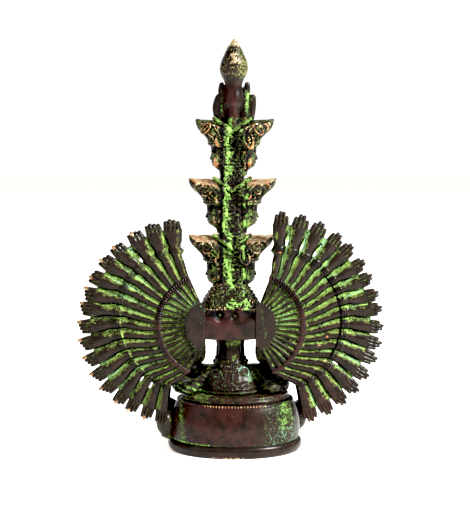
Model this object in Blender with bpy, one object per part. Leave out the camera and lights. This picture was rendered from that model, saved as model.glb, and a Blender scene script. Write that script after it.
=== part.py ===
"""A seated, eleven-headed statuette with two fans of seventeen arms, on a lotus base.

Metres, +Z up. The figure faces -Y. The origin is at the middle of the underside.
"""

import math

import bmesh
import bpy
from mathutils import Vector

mm = 0.001

# Joint between two castings
joint_gap = 0.3 * mm

# Lotus base: a round foot moulding, a smooth drum and a thin seat disc
foot_width = 72.8 * mm
foot_depth = 56.0 * mm
foot_height = 6.2 * mm
drum_inset = 1.1 * mm
drum_height = 21.6 * mm
drum_taper = 4.6 * mm
seat_inset = 5.9 * mm
seat_height = 3.6 * mm
base_offset_x = -2.4 * mm
base_sides = 36
petal_count = 10
petal_width = 11.5 * mm
petal_bulge = 10.0 * mm
petal_height = 18.5 * mm
petal_arc_left = 100.0
petal_arc_right = 66.0

# Seated figure, measured from the seat to the shoulders
figure_height = 48.3 * mm
shoulder_share = 0.35
back_share = 0.185

# Tower of heads, measured from the shoulders to the tip
tower_height = 140.0 * mm
tower_lean = -2.0 * mm

# Arm fans
arms_per_fan = 17
hub_line_x = 13.3 * mm
hub_line_half = 11.0 * mm
hub_drop = 11.4 * mm
hub_thickness = 4.0 * mm
arm_thickness = 2.0 * mm
arm_relief = 0.9 * mm
band_relief = 0.9 * mm
fan_sweep = 3.0 * mm
hand_clearance = 0.7 * mm
hub_circle_x = 10.3 * mm
hub_circle_radius = 13.0 * mm
inner_band_radius = 28.0 * mm
outer_band_x = 23.6 * mm
outer_band_radius = 36.9 * mm
fingertip_x = 26.9 * mm
fingertip_radius = 54.8 * mm
lowest_arm_extra = 3.0 * mm
outer_circles_rise = 3.2 * mm
hub_top_angle = 66.0
outer_band_top_angle = 87.0
fingertip_top_angle = 91.6

# Places worked out from the sizes above
drum_top_z = foot_height + drum_height
seat_top_z = drum_top_z + seat_height
figure_z = seat_top_z + joint_gap
shoulder_z = figure_z + figure_height
front_reach = foot_depth / 2 - drum_inset + 0.82 * petal_bulge
back_reach = foot_depth / 2
centre_y = (front_reach - back_reach) / 2
fan_y = centre_y + back_share * figure_height + joint_gap + hub_thickness / 2


def material(name, colour, roughness, metallic):
    made = bpy.data.materials.new(name)
    made.use_nodes = True
    shader = made.node_tree.nodes["Principled BSDF"]
    shader.inputs["Base Color"].default_value = (*colour, 1.0)
    shader.inputs["Roughness"].default_value = roughness
    shader.inputs["Metallic"].default_value = metallic
    made.diffuse_color = (*colour, 1.0)
    return made


def finish_mesh(name, bm):
    bmesh.ops.recalc_face_normals(bm, faces=bm.faces)
    mesh = bpy.data.meshes.new(name)
    bm.to_mesh(mesh)
    bm.free()
    made = bpy.data.objects.new(name, mesh)
    bpy.context.scene.collection.objects.link(made)
    return made


def loft(name, rings, start_pole=None, end_pole=None):
    """A closed skin through rings of points, each end drawn to a pole."""
    bm = bmesh.new()
    rows = [[bm.verts.new(p) for p in ring] for ring in rings]
    count = len(rows[0])
    for low, high in zip(rows, rows[1:]):
        for i in range(count):
            j = (i + 1) % count
            bm.faces.new((low[i], low[j], high[j], high[i]))
    for row, pole in ((rows[0], start_pole), (rows[-1], end_pole)):
        middle = sum((v.co for v in row), Vector()) / count
        tip = bm.verts.new(pole if pole is not None else middle)
        for i in range(count):
            bm.faces.new((row[i], row[(i + 1) % count], tip))
    return finish_mesh(name, bm)


def oval(centre, half_x, half_y, sides, squareness=1.0):
    """A level ring of points. A squareness under 1 fills out the corners."""
    points = []
    for i in range(sides):
        turn = math.tau * (i + 0.5) / sides
        c, s = math.cos(turn), math.sin(turn)
        x = math.copysign(abs(c) ** squareness, c) * half_x
        y = math.copysign(abs(s) ** squareness, s) * half_y
        points.append(Vector(centre) + Vector((x, y, 0.0)))
    return points


def limb(name, path, radii, smoothness=1):
    """A round bar along a bent path, as a bevelled curve, drawn in at both ends."""
    path = [Vector(p) for p in path]
    first = path[0] - (path[1] - path[0]).normalized() * radii[0] * 0.6
    last = path[-1] + (path[-1] - path[-2]).normalized() * radii[-1] * 0.6
    points = [first, *path, last]
    widths = [radii[0] * 0.45, *radii, radii[-1] * 0.45]
    curve = bpy.data.curves.new(name, "CURVE")
    curve.dimensions = "3D"
    curve.bevel_depth = 1.0
    curve.bevel_resolution = smoothness
    curve.use_fill_caps = True
    spline = curve.splines.new("POLY")
    spline.points.add(len(points) - 1)
    for place, point, width in zip(spline.points, points, widths):
        place.co = (*point, 1.0)
        place.radius = width
    drawn = bpy.data.objects.new(name, curve)
    bpy.context.scene.collection.objects.link(drawn)
    graph = bpy.context.evaluated_depsgraph_get()
    mesh = bpy.data.meshes.new_from_object(drawn.evaluated_get(graph))
    bpy.data.objects.remove(drawn)
    bm = bmesh.new()
    bm.from_mesh(mesh)
    bpy.data.meshes.remove(mesh)
    bmesh.ops.remove_doubles(bm, verts=bm.verts, dist=0.01 * mm)
    return finish_mesh(name, bm)


def unite(name, pieces, finish):
    """Joins overlapping closed pieces into one solid."""
    body = pieces[0]
    body.name = name
    others = bpy.data.collections.new(name + "_pieces")
    bpy.context.scene.collection.children.link(others)
    for piece in pieces[1:]:
        bpy.context.scene.collection.objects.unlink(piece)
        others.objects.link(piece)
    union = body.modifiers.new("Union", "BOOLEAN")
    union.operation = "UNION"
    union.operand_type = "COLLECTION"
    union.collection = others
    union.solver = "EXACT"
    graph = bpy.context.evaluated_depsgraph_get()
    whole = bpy.data.meshes.new_from_object(body.evaluated_get(graph))
    body.modifiers.remove(union)
    body.data = whole
    body.data.name = name
    for piece in pieces[1:]:
        bpy.data.objects.remove(piece)
    bpy.data.collections.remove(others)
    body.data.materials.clear()
    body.data.materials.append(finish)
    return body


def drum_half_width(y):
    """The drum's half width at its widest, at a distance y behind its middle."""
    half_x = foot_width / 2 - drum_inset
    half_y = foot_depth / 2 - drum_inset
    return half_x * math.sqrt(max(0.0, 1.0 - (y / half_y) ** 2))


# Lotus base

def make_drum():
    """The foot, the drum and the seat as one turned profile, then squeezed to an oval."""
    foot = foot_width / 2
    drum = foot - drum_inset
    profile = [
        (foot - 1.2 * mm, 0.0),
        (foot, 0.3 * foot_height),
        (foot, 0.65 * foot_height),
        (drum - 0.9 * mm, foot_height),
        (drum, foot_height + 0.25 * drum_height),
        (drum - 0.1 * drum_taper, foot_height + 0.5 * drum_height),
        (drum - 0.45 * drum_taper, foot_height + 0.78 * drum_height),
        (drum - drum_taper, drum_top_z),
        (drum - seat_inset, drum_top_z + 0.1 * mm),
        (drum - seat_inset, seat_top_z),
    ]
    bm = bmesh.new()
    line = [bm.verts.new((radius, 0.0, z)) for radius, z in profile]
    edges = [bm.edges.new(pair) for pair in zip(line, line[1:])]
    bmesh.ops.spin(
        bm, geom=line + edges, cent=(0.0, 0.0, 0.0), axis=(0.0, 0.0, 1.0),
        angle=math.tau, steps=base_sides, use_merge=True,
    )
    bmesh.ops.remove_doubles(bm, verts=bm.verts, dist=0.01 * mm)
    open_edges = [edge for edge in bm.edges if edge.is_boundary]
    bmesh.ops.holes_fill(bm, edges=open_edges, sides=0)
    for vert in bm.verts:
        vert.co.x += base_offset_x
        vert.co.y = vert.co.y * foot_depth / foot_width + centre_y
    return finish_mesh("drum", bm)


def make_petal(name, turn, width, low, high, bulge):
    """One lotus petal, bellied outwards and curled over at its tip."""
    half_x = foot_width / 2 - drum_inset
    half_y = foot_depth / 2 - drum_inset
    foot = Vector((base_offset_x + half_x * math.sin(turn), centre_y - half_y * math.cos(turn), 0.0))
    along = Vector((half_x * math.cos(turn), half_y * math.sin(turn), 0.0)).normalized()
    away = along.cross(Vector((0.0, 0.0, 1.0)))
    bm = bmesh.new()
    bmesh.ops.create_uvsphere(bm, u_segments=8, v_segments=5, radius=1.0)
    for vert in bm.verts:
        side, out, rise = vert.co
        share = (rise + 1) / 2
        lean = 0.1 + 0.25 * share + 0.3 * share**6
        place = foot + along * side * width / 2 + away * bulge * (out * 0.55 + lean)
        vert.co = place + Vector((0.0, 0.0, low + share * (high - low)))
    return finish_mesh(name, bm)


def make_base(finish):
    pieces = [make_drum()]
    low = foot_height - 0.6 * mm
    span = petal_arc_left + petal_arc_right
    for i in range(petal_count):
        turn = math.radians(-petal_arc_right + span * i / (petal_count - 1))
        pieces.append(make_petal(f"petal_{i}", turn, petal_width, low, low + petal_height, petal_bulge))
    return unite("lotus_base", pieces, finish)


# Seated figure


def body_point(x, y, z):
    """A place on the figure, in shares of its height, from the middle of the seat."""
    return Vector((x * figure_height, centre_y + y * figure_height, figure_z + z * figure_height))


def make_torso():
    # height, middle forwards or back, half width, half depth and squareness
    levels = (
        (0.0, 0.03, 0.33, 0.27, 1.0),
        (0.06, 0.03, 0.325, 0.275, 1.0),
        (0.14, 0.03, 0.295, 0.26, 1.0),
        (0.21, 0.025, 0.255, 0.235, 1.0),
        (0.29, 0.015, 0.195, 0.19, 1.0),
        (0.37, 0.005, 0.163, 0.15, 1.0),
        (0.52, 0.0, 0.152, 0.14, 1.0),
        (0.575, 0.0, 0.165, 0.145, 1.0),
        (0.60, 0.0, 0.25, 0.16, 0.8),
        (0.66, 0.0, shoulder_share - 0.02, back_share - 0.01, 0.6),
        (0.80, 0.0, shoulder_share, back_share, 0.6),
        (0.93, 0.0, shoulder_share, back_share - 0.01, 0.6),
        (1.0, 0.0, shoulder_share - 0.04, back_share - 0.03, 0.7),
        (1.03, 0.0, 0.27, 0.14, 1.0),
    )
    rings = []
    for z, y, wide, deep, square in levels:
        rings.append(oval(body_point(0, y, z), wide * figure_height, deep * figure_height, 14, square))
    return loft("torso", rings)


def make_leg(side):
    h = figure_height
    hip, knee = body_point(side * 0.22, 0.0, 0.15), body_point(side * 0.54, -0.18, 0.13)
    thigh = limb(f"thigh_{side}", (hip, (hip + knee) / 2, knee), (0.15 * h, 0.145 * h, 0.12 * h), 2)
    lift = 0.11 if side > 0 else 0.06
    shin_path = (
        body_point(side * 0.52, -0.24, 0.12),
        body_point(side * 0.28, -0.42, lift + 0.02),
        body_point(side * -0.10, -0.46, lift + 0.02),
    )
    shin = limb(f"shin_{side}", shin_path, (0.10 * h, 0.09 * h, 0.06 * h))
    foot_path = (
        body_point(side * -0.08, -0.46, lift + 0.02),
        body_point(side * -0.20, -0.47, lift + 0.05),
        body_point(side * -0.34, -0.42, lift + 0.07),
    )
    foot = limb(f"foot_{side}", foot_path, (0.055 * h, 0.055 * h, 0.04 * h))
    return [thigh, shin, foot]


def make_front_arms(side):
    """The arm that prays and the arm whose hand rests on the knee."""
    h = figure_height
    upper = (
        body_point(side * 0.29, -0.04, 0.88),
        body_point(side * 0.38, -0.17, 0.72),
        body_point(side * 0.35, -0.27, 0.65),
        body_point(side * 0.20, -0.34, 0.69),
        body_point(side * 0.055, -0.37, 0.75),
    )
    praying = limb(f"praying_arm_{side}", upper, (0.085 * h, 0.075 * h, 0.065 * h, 0.055 * h, 0.04 * h))
    palm_path = (
        body_point(side * 0.045, -0.37, 0.74),
        body_point(side * 0.035, -0.375, 0.84),
        body_point(side * 0.012, -0.385, 1.0),
    )
    palm = limb(f"praying_hand_{side}", palm_path, (0.05 * h, 0.05 * h, 0.022 * h))
    lower = (
        body_point(side * 0.33, -0.02, 0.80),
        body_point(side * 0.375, -0.02, 0.56),
        body_point(side * 0.41, -0.20, 0.42),
        body_point(side * 0.46, -0.34, 0.32),
    )
    resting = limb(f"resting_arm_{side}", lower, (0.07 * h, 0.055 * h, 0.045 * h, 0.038 * h))
    hand_path = (
        body_point(side * 0.46, -0.34, 0.32),
        body_point(side * 0.48, -0.40, 0.24),
        body_point(side * 0.48, -0.42, 0.10),
    )
    hand = limb(f"resting_hand_{side}", hand_path, (0.045 * h, 0.055 * h, 0.035 * h))
    return [praying, palm, resting, hand]


# Tower of heads


def tower_point(share):
    """The tower's axis at a share of its height, with its slight lean."""
    return Vector((tower_lean * share, centre_y, shoulder_z + share * tower_height))


def make_column():
    # share of the tower's height, half width and half depth as shares too, and the middle's y
    levels = (
        (-0.02, 0.115, 0.050, 0.0),
        (0.02, 0.095, 0.048, 0.0),
        (0.06, 0.080, 0.045, 0.01),
        (0.20, 0.055, 0.040, 0.015),
        (0.27, 0.062, 0.042, 0.01),
        (0.40, 0.052, 0.040, 0.012),
        (0.48, 0.060, 0.040, 0.01),
        (0.60, 0.050, 0.036, 0.01),
        (0.68, 0.062, 0.036, 0.005),
        (0.712, 0.072, 0.030, 0.0),
    )
    rings = []
    for share, wide, deep, back in levels:
        centre = tower_point(share) + Vector((0.0, back * tower_height, 0.0))
        rings.append(oval(centre, wide * tower_height, deep * tower_height, 10, 0.8))
    return loft("column", rings)


# Height, middle, half depth, half width and how far nose, lips or chin stand out, in head heights
face_levels = (
    (-0.14, 0.10, 0.20, 0.19, 0.0),
    (-0.02, 0.22, 0.16, 0.13, 0.0),
    (0.04, 0.25, 0.21, 0.16, 0.02),
    (0.11, 0.24, 0.25, 0.215, 0.03),
    (0.20, 0.24, 0.25, 0.235, 0.085),
    (0.37, 0.25, 0.26, 0.25, 0.02),
)
head_sides = 10


def make_head(name, share, height, turn):
    """A head with a flared, five-leaved crown, facing the direction turn, from -Y towards +X."""
    ahead = Vector((math.sin(turn), -math.cos(turn), 0.0))
    across = Vector((math.cos(turn), math.sin(turn), 0.0))
    chin = tower_point(share)
    rings = []

    def ring(z, middle, deep, wide, bump=0.0, leaf=0.0):
        points = []
        for k in range(head_sides):
            angle = math.tau * k / head_sides
            forward = middle + deep * math.cos(angle) + (bump if k == 0 else 0.0)
            rise = z + leaf * (0.4 * math.cos(angle) - k % 2)
            place = ahead * forward + across * wide * math.sin(angle)
            points.append(chin + (place + Vector((0.0, 0.0, rise))) * height)
        return points

    for z, middle, deep, wide, bump in face_levels:
        rings.append(ring(z, middle, deep, wide, bump))
    rings.append(ring(0.42, 0.27, 0.31, 0.29))
    rings.append(ring(0.72, 0.30, 0.41, 0.34))
    rings.append(ring(0.95, 0.32, 0.54, 0.42, 0.0, 0.1))
    rings.append(ring(0.88, 0.28, 0.38, 0.28))
    return loft(name, rings, None, chin + (ahead * 0.2 + Vector((0.0, 0.0, 0.9))) * height)


# Each tier: where its chins are and its heads' height, as shares of the tower
tier_levels = ((0.070, 0.182), (0.292, 0.176), (0.512, 0.180))


def make_tiers():
    pieces = []
    for tier, (share, height_share) in enumerate(tier_levels):
        height = height_share * tower_height
        for turn in (-90.0, 0.0, 90.0):
            pieces.append(make_head(f"head_{tier}_{turn:.0f}", share, height, math.radians(turn)))
    return pieces


def make_top():
    """The tenth head, smooth behind and crowned in front, and the curled pointed head over it."""
    h = tower_height
    bulb_levels = (
        (0.68, 0.030, 0.026), (0.725, 0.027, 0.026), (0.745, 0.038, 0.038), (0.765, 0.045, 0.045),
        (0.79, 0.045, 0.046), (0.815, 0.037, 0.040), (0.84, 0.029, 0.032),
        (0.855, 0.040, 0.040), (0.875, 0.049, 0.046), (0.90, 0.049, 0.046), (0.93, 0.040, 0.038),
        (0.96, 0.028, 0.026), (0.985, 0.014, 0.013),
    )
    rings = []
    for share, wide, deep in bulb_levels:
        rings.append(oval(tower_point(share), wide * h, deep * h, 10))
    pieces = [loft("top_heads", rings, None, tower_point(1.0))]
    lobes = ((0.715, 0.785, 0.058, 0.070, 0.021), (0.79, 0.835, 0.046, 0.052, 0.015))
    for low, high, inner, outer, thick in lobes:
        for side in (-1, 1):
            path = (
                tower_point(low) + Vector((side * inner * h, -0.004 * h, 0.0)),
                tower_point((low + high) / 2) + Vector((side * outer * h, -0.006 * h, 0.0)),
                tower_point(high) + Vector((side * outer * h, -0.006 * h, 0.0)),
            )
            pieces.append(limb(f"lobe_{side}_{low}", path, (thick * h, thick * h * 1.15, thick * h * 0.6)))
    for low, high, turn in ((0.71, 0.815, 0.0), (0.70, 0.80, 40.0), (0.70, 0.80, -40.0)):
        out = Vector((math.sin(math.radians(turn)), -math.cos(math.radians(turn)), 0.0))
        path = (
            tower_point(low) + out * 0.03 * h,
            tower_point((low + high) / 2) + out * 0.040 * h,
            tower_point(high) + out * 0.062 * h,
        )
        pieces.append(limb(f"crown_leaf_{turn:.0f}", path, (0.02 * h, 0.020 * h, 0.008 * h)))
    return pieces


def make_figure(finish):
    pieces = [make_torso()]
    for side in (-1, 1):
        pieces += make_leg(side)
        pieces += make_front_arms(side)
    pieces.append(make_column())
    pieces += make_tiers()
    pieces += make_top()
    return unite("seated_figure", pieces, finish)


# Arm fans

# Shares of one arm's breadth: a plain bar, and a hand whose fingers are every second point
bar_columns = (0.0, 1 / 3, 2 / 3)
hand_columns = (0.0, 0.17, 0.28, 0.39, 0.5, 0.61, 0.72, 0.83)
finger_reach = (0.74, 0.93, 0.86, 1.0, 0.90, 0.98, 0.86, 0.90)

# Where the palm ends, as a way out along the arm, and how much the fingers draw together past it
palm_end = 2.66
hand_narrowing = 0.28


class Fan:
    """One fan of arms. A place on it is an arm number u and a way s out along the arm.

    s is -1 at the straight inner edge, 0 where the arms leave the hub, 1 at the inner band,
    2 at the bracelets and 3 at the fingertips.
    """

    def __init__(self, name, side):
        self.name = name
        self.side = side
        self.hub_z = shoulder_z - hub_drop
        beside = drum_half_width(fan_y - centre_y) + side * base_offset_x
        edge_x = beside + hand_clearance
        lowest = -math.degrees(math.acos((edge_x - fingertip_x) / fingertip_radius))
        hub = (hub_circle_x, self.hub_z)
        outer_z = self.hub_z + outer_circles_rise
        self.circles = (
            (hub, hub_circle_radius, hub_top_angle, -hub_top_angle),
            (hub, inner_band_radius, hub_top_angle, -hub_top_angle),
            ((outer_band_x, outer_z), outer_band_radius, outer_band_top_angle, lowest * 0.93),
            ((fingertip_x, outer_z), fingertip_radius, fingertip_top_angle, lowest),
        )

    def on_circle(self, index, u):
        (x, z), radius, top, bottom = self.circles[index]
        angle = math.radians(top + (bottom - top) * u / arms_per_fan)
        if index == 3:
            radius += lowest_arm_extra * (u / arms_per_fan) ** 8
        return Vector((x + radius * math.cos(angle), z + radius * math.sin(angle)))

    def place(self, u, s):
        if s < 0:
            share = 1 - 2 * u / arms_per_fan
            start = Vector((hub_line_x, self.hub_z + share * hub_line_half))
            return start.lerp(self.on_circle(0, u), s + 1)
        index = min(int(s), 2)
        return self.on_circle(index, u).lerp(self.on_circle(index + 1, u), s - index)

    def drawn_in(self, u, s):
        """A finger's place moved towards the middle of its hand. The edges between hands stay."""
        middle = math.floor(min(u, arms_per_fan - 0.5)) + 0.5
        if s <= palm_end or abs(u - middle) > 0.49:
            return u
        return middle + (u - middle) * (1 - hand_narrowing * (s - palm_end) / (3 - palm_end))

    def point(self, u, s, offset):
        x, z = self.place(self.drawn_in(u, s), s)
        reach = (x - hub_line_x) / (fingertip_x + fingertip_radius - hub_line_x)
        return Vector((self.side * x, fan_y - fan_sweep * max(0.0, reach) ** 2 + offset, z))

    def half(self, s):
        """Half the thickness of the plate that carries the arms."""
        share = min(1.0, max(0.0, s))
        return hub_thickness / 2 + (arm_thickness / 2 - hub_thickness / 2) * share

    def bar_row(self, bm, s, relief, face):
        row = []
        for u in self.columns(bar_columns):
            raised = relief if u % 1.0 > 0.1 else relief * 0.1
            row.append((u, bm.verts.new(self.point(u, s, face * (self.half(s) + raised)))))
        return row

    def columns(self, shares):
        return [arm + share for arm in range(arms_per_fan) for share in shares] + [arms_per_fan]

    def hand_row(self, bm, along, relief, groove, face):
        """A row across every hand, at a share of the way from the knuckles to the fingertips."""
        row = []
        for index, u in enumerate(self.columns(hand_columns)):
            k = index % len(hand_columns)
            tip = 2.0 + finger_reach[k]
            s = 2.42 + (tip - 2.42) * along
            raised = relief if k % 2 else groove
            if k == 0:
                raised = 0.0
            thick = arm_thickness / 2 * math.sqrt(max(0.0, 1.0 - along**2))
            row.append((u, bm.verts.new(self.point(u, s, face * (thick + raised)))))
        return row


def stitch(bm, first, second):
    """Fills the strip between two rows of (place, vertex), each in rising order of place."""
    i = j = 0
    while i + 1 < len(first) or j + 1 < len(second):
        step_first = i + 1 < len(first)
        if step_first and j + 1 < len(second):
            step_first = first[i + 1][0] <= second[j + 1][0]
        if step_first:
            corners = (first[i][1], first[i + 1][1], second[j][1])
            i += 1
        else:
            corners = (first[i][1], second[j + 1][1], second[j][1])
            j += 1
        if len(set(corners)) == 3:
            bm.faces.new(corners)


def make_fan(name, side, finish):
    fan = Fan(name, side)
    bm = bmesh.new()
    sides = {}
    tips = fan.hand_row(bm, 1.0, 0.0, 0.0, 1)
    back_bars = (
        (-1.0, 0.0), (0.0, 0.0), (0.12, arm_relief), (0.88, arm_relief), (1.0, arm_relief + band_relief),
        (1.10, arm_relief), (2.0, arm_relief + band_relief * 0.5), (2.1, arm_relief),
    )
    front_bars = ((-1.0, 0.0), (0.12, arm_relief * 0.6), (1.0, arm_relief), (2.1, arm_relief))
    for face, bars in ((1, back_bars), (-1, front_bars)):
        rows = [(s, fan.bar_row(bm, s, relief, face)) for s, relief in bars]
        rows.append((2.42, fan.hand_row(bm, 0.0, arm_relief, arm_relief, face)))
        if face > 0:
            rows.append((2.8, fan.hand_row(bm, 0.75, arm_relief, 0.1 * arm_relief, face)))
        rows.append((3.0, tips))
        for (_, low), (_, high) in zip(rows, rows[1:]):
            stitch(bm, low, high)
        sides[face] = rows
    stitch(bm, sides[1][0][1], sides[-1][0][1])
    for end in (0, -1):
        stitch(bm, [(s, row[end][1]) for s, row in sides[1]], [(s, row[end][1]) for s, row in sides[-1]])
    made = finish_mesh(name, bm)
    made.data.materials.append(finish)
    return made


def main():
    for old in list(bpy.data.objects):
        bpy.data.objects.remove(old)
    brown = (0.045, 0.022, 0.018)
    green = (0.10, 0.22, 0.04)
    make_base(material("base_brown_bronze", brown, 0.4, 0.6))
    make_figure(material("figure_patinated_bronze", green, 0.6, 0.4))
    make_fan("left_arm_fan", 1, material("left_fan_patinated_bronze", brown, 0.5, 0.5))
    make_fan("right_arm_fan", -1, material("right_fan_patinated_bronze", brown, 0.5, 0.5))


main()
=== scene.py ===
import math
import bpy
import bmesh
import numpy as np
from mathutils import Matrix, Vector, noise


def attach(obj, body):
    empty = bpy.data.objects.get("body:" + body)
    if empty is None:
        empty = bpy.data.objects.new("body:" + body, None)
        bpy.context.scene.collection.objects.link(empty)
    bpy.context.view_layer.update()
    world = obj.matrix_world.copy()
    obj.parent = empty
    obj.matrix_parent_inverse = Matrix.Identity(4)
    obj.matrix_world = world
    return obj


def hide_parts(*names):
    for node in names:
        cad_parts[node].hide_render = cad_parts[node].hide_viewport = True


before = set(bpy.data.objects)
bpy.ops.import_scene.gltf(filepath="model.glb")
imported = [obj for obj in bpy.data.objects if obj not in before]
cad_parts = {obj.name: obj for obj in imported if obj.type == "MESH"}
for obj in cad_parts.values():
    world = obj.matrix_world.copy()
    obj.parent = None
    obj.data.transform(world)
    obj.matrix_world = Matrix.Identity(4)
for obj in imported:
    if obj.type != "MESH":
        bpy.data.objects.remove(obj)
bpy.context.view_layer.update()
mm = 0.001


# helpers shared by all pieces
def clearSelection():
    for thing in list(bpy.context.selected_objects):
        thing.select_set(False)


def pick(*things):
    clearSelection()
    for thing in things:
        thing.select_set(True)
    bpy.context.view_layer.objects.active = things[0]


def ramp(x, low, high):  # rises smoothly from 0 at low to 1 at high
    x = np.clip((x - low) / (high - low), 0.0, 1.0)
    return x * x * (3 - 2 * x)


def fall(x, low, high):
    return 1 - ramp(x, low, high)


def clamp(x):
    return np.clip(x, 0, 1)


def hill(x, middle, width, power=2):  # a higher power gives a flatter top and steeper sides
    return np.exp(-(((x - middle) / width) ** power))


def blob(x, z, middle, size, power=1):  # an oval hill
    return np.exp(-(((x - middle[0]) / size[0]) ** 2 + ((z - middle[1]) / size[1]) ** 2) ** power)


def wobble(points, size, seed=0.0):  # smooth noise, about -1 to 1; size is the size of its lumps
    shift = Vector((seed * 7.3, seed * 3.1, seed * 5.7))
    flat = np.asarray(points).reshape(-1, 3) / size
    return np.array([noise.noise(Vector(p) + shift) for p in flat]).reshape(np.asarray(points).shape[:-1])


def meshFrom(name, points, faces, values=None):
    mesh = bpy.data.meshes.new(name)
    mesh.from_pydata(np.asarray(points).reshape(-1, 3).tolist(), [], [list(f) for f in faces])
    mesh.update()
    thing = bpy.data.objects.new(name, mesh)
    bpy.context.scene.collection.objects.link(thing)
    for key, data in (values or {}).items():
        paint(thing, key, data)
    mesh.shade_smooth()
    return thing


def paint(thing, key, data):
    layer = thing.data.attributes.get(key) or thing.data.attributes.new(key, "FLOAT", "POINT")
    layer.data.foreach_set("value", np.ascontiguousarray(data, dtype=np.float32).reshape(-1))


def nodeTools(tree):  # adds a node; feeds a socket with a number, a colour or another socket
    def add(kind, **settings):
        made = tree.nodes.new(kind)
        for key, value in settings.items():
            setattr(made, key, value)
        return made

    def feed(socket, source):
        if isinstance(source, (int, float)):
            socket.default_value = source
        elif isinstance(source, tuple):
            socket.default_value = (*source, 1.0)
        else:
            tree.links.new(source, socket)

    return add, feed


def dress(thing, node, material):  # what each finished piece needs
    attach(thing, "root")
    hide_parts(node)
    thing.data.materials.clear()
    thing.data.materials.append(material)
    print(thing.name, "made:", len(thing.data.polygons), "faces")


# the finish of the cast brass: lacquer, patina and wear, with painted shade and a few painted highlights,
# painted on by the pieces' own attributes
finishColours = {
    "brown": (0.0178, 0.0132, 0.0098), "redBrown": (0.0420, 0.0150, 0.0130),
    "paintedShadeAndGrime": (0.0012, 0.0010, 0.0008),
    "lime": (0.260, 0.500, 0.105), "green": (0.090, 0.165, 0.035), "greenDark": (0.012, 0.022, 0.005),
    "teal": (0.190, 0.330, 0.250), "olive": (0.135, 0.130, 0.036),
    "copper": (0.420, 0.170, 0.060), "tan": (0.510, 0.410, 0.235),
}


def castBrass(name):
    material = bpy.data.materials.new(name)
    material.use_nodes = True
    tree = material.node_tree
    shader = tree.nodes["Principled BSDF"]
    add, feed = nodeTools(tree)

    def calc(operation, *sources):
        made = add("ShaderNodeMath", operation=operation)
        for socket, source in zip(made.inputs, sources):
            feed(socket, source)
        return made.outputs[0]

    def step(value, low, high):
        made = add("ShaderNodeMapRange", interpolation_type="SMOOTHSTEP")
        feed(made.inputs["Value"], value)
        feed(made.inputs["From Min"], low)
        feed(made.inputs["From Max"], high)
        return made.outputs["Result"]

    def blend(share, first, second):
        made = add("ShaderNodeMix", data_type="RGBA")
        feed(made.inputs[0], share)
        feed(made.inputs[6], first)
        feed(made.inputs[7], second)
        return made.outputs[2]

    def cloud(size, detail, seed):
        made = add("ShaderNodeTexNoise", noise_dimensions="4D")
        tree.links.new(place, made.inputs["Vector"])
        made.inputs["W"].default_value = seed
        made.inputs["Scale"].default_value = 1.0 / size
        made.inputs["Detail"].default_value = detail
        return made.outputs["Fac"]

    def painted(key):
        return add("ShaderNodeAttribute", attribute_name=key).outputs["Fac"]

    place = add("ShaderNodeTexCoord").outputs["Object"]
    patina, teal, wear, tone, olive, paintedShadeAndGrime = (
        painted(k) for k in ("patina", "teal", "wear", "tone", "olive", "paintedShadeAndGrime")
    )
    fine = cloud(0.50 * mm, 3.0, 1.0)
    broad = cloud(5 * mm, 3.0, 2.0)
    patch = cloud(1.5 * mm, 2.0, 3.0)
    grit = cloud(0.26 * mm, 2.0, 4.0)

    def stir(value, noiseMap, share):  # adds so much of a noise, up and down
        return calc("ADD", value, calc("MULTIPLY", calc("SUBTRACT", noiseMap, 0.5), share))

    def ragged(value, fineShare, patchShare):  # a painted amount with a mottled edge
        return stir(stir(value, fine, fineShare), patch, patchShare)

    # lacquer, thinner and redder where the tone is high
    hues = finishColours
    lacquer = blend(tone, hues["brown"], hues["redBrown"])
    lacquer = blend(step(broad, 0.35, 0.7), lacquer, tuple(0.55 * c for c in hues["brown"]))
    # patina, from a dark stain through green to lime, with teal and olive in places
    amount = ragged(patina, 1.8, 1.3)
    cover = step(amount, 0.36, 0.56)
    bright = stir(amount, grit, 1.1)
    green = blend(step(amount, 0.42, 0.68), hues["greenDark"], hues["green"])
    green = blend(step(bright, 0.66, 1.02), green, hues["lime"])
    tealShare = calc("MULTIPLY", step(ragged(teal, 0.6, 0.9), 0.42, 0.80), step(bright, 0.45, 0.85))
    green = blend(tealShare, green, hues["teal"])
    oliveHue = blend(step(bright, 0.5, 1.0), tuple(0.3 * c for c in hues["olive"]), hues["olive"])
    green = blend(olive, green, oliveHue)
    colour = blend(cover, lacquer, green)
    # near-black painted shade in hollows, grooves and on shaded flanks, with some dark grime
    shadeAndGrimeShare = step(ragged(paintedShadeAndGrime, 1.0, 0.7), 0.25, 0.62)
    colour = blend(shadeAndGrimeShare, colour, hues["paintedShadeAndGrime"])
    # wear down to bright metal
    worn = step(ragged(wear, 0.9, 0.2), 0.45, 0.72)
    tanShare = calc("MAXIMUM", step(patch, 0.4, 0.65), step(olive, 0.55, 0.95))
    bare = blend(tanShare, hues["copper"], hues["tan"])
    colour = blend(worn, colour, bare)
    feed(shader.inputs["Base Color"], colour)
    rough = calc("ADD", 0.26, calc("MULTIPLY", cover, 0.40))
    rough = stir(rough, fine, 0.22)
    rough = calc("ADD", rough, calc("MULTIPLY", shadeAndGrimeShare, 0.25))
    feed(shader.inputs["Roughness"], rough)
    metal = calc("MULTIPLY", calc("SUBTRACT", 1.0, cover), 0.06)
    feed(shader.inputs["Metallic"], calc("MAXIMUM", metal, calc("MULTIPLY", worn, 0.75)))
    shader.inputs["Specular IOR Level"].default_value = 0.15
    relief = calc("ADD", calc("MULTIPLY", fine, calc("ADD", 0.25, cover)), calc("MULTIPLY", grit, 0.35))
    skin = add("ShaderNodeBump")
    for key, source in (("Strength", 0.35), ("Distance", 0.12 * mm), ("Height", relief)):
        feed(skin.inputs[key], source)
    feed(shader.inputs["Normal"], skin.outputs["Normal"])
    return material


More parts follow.
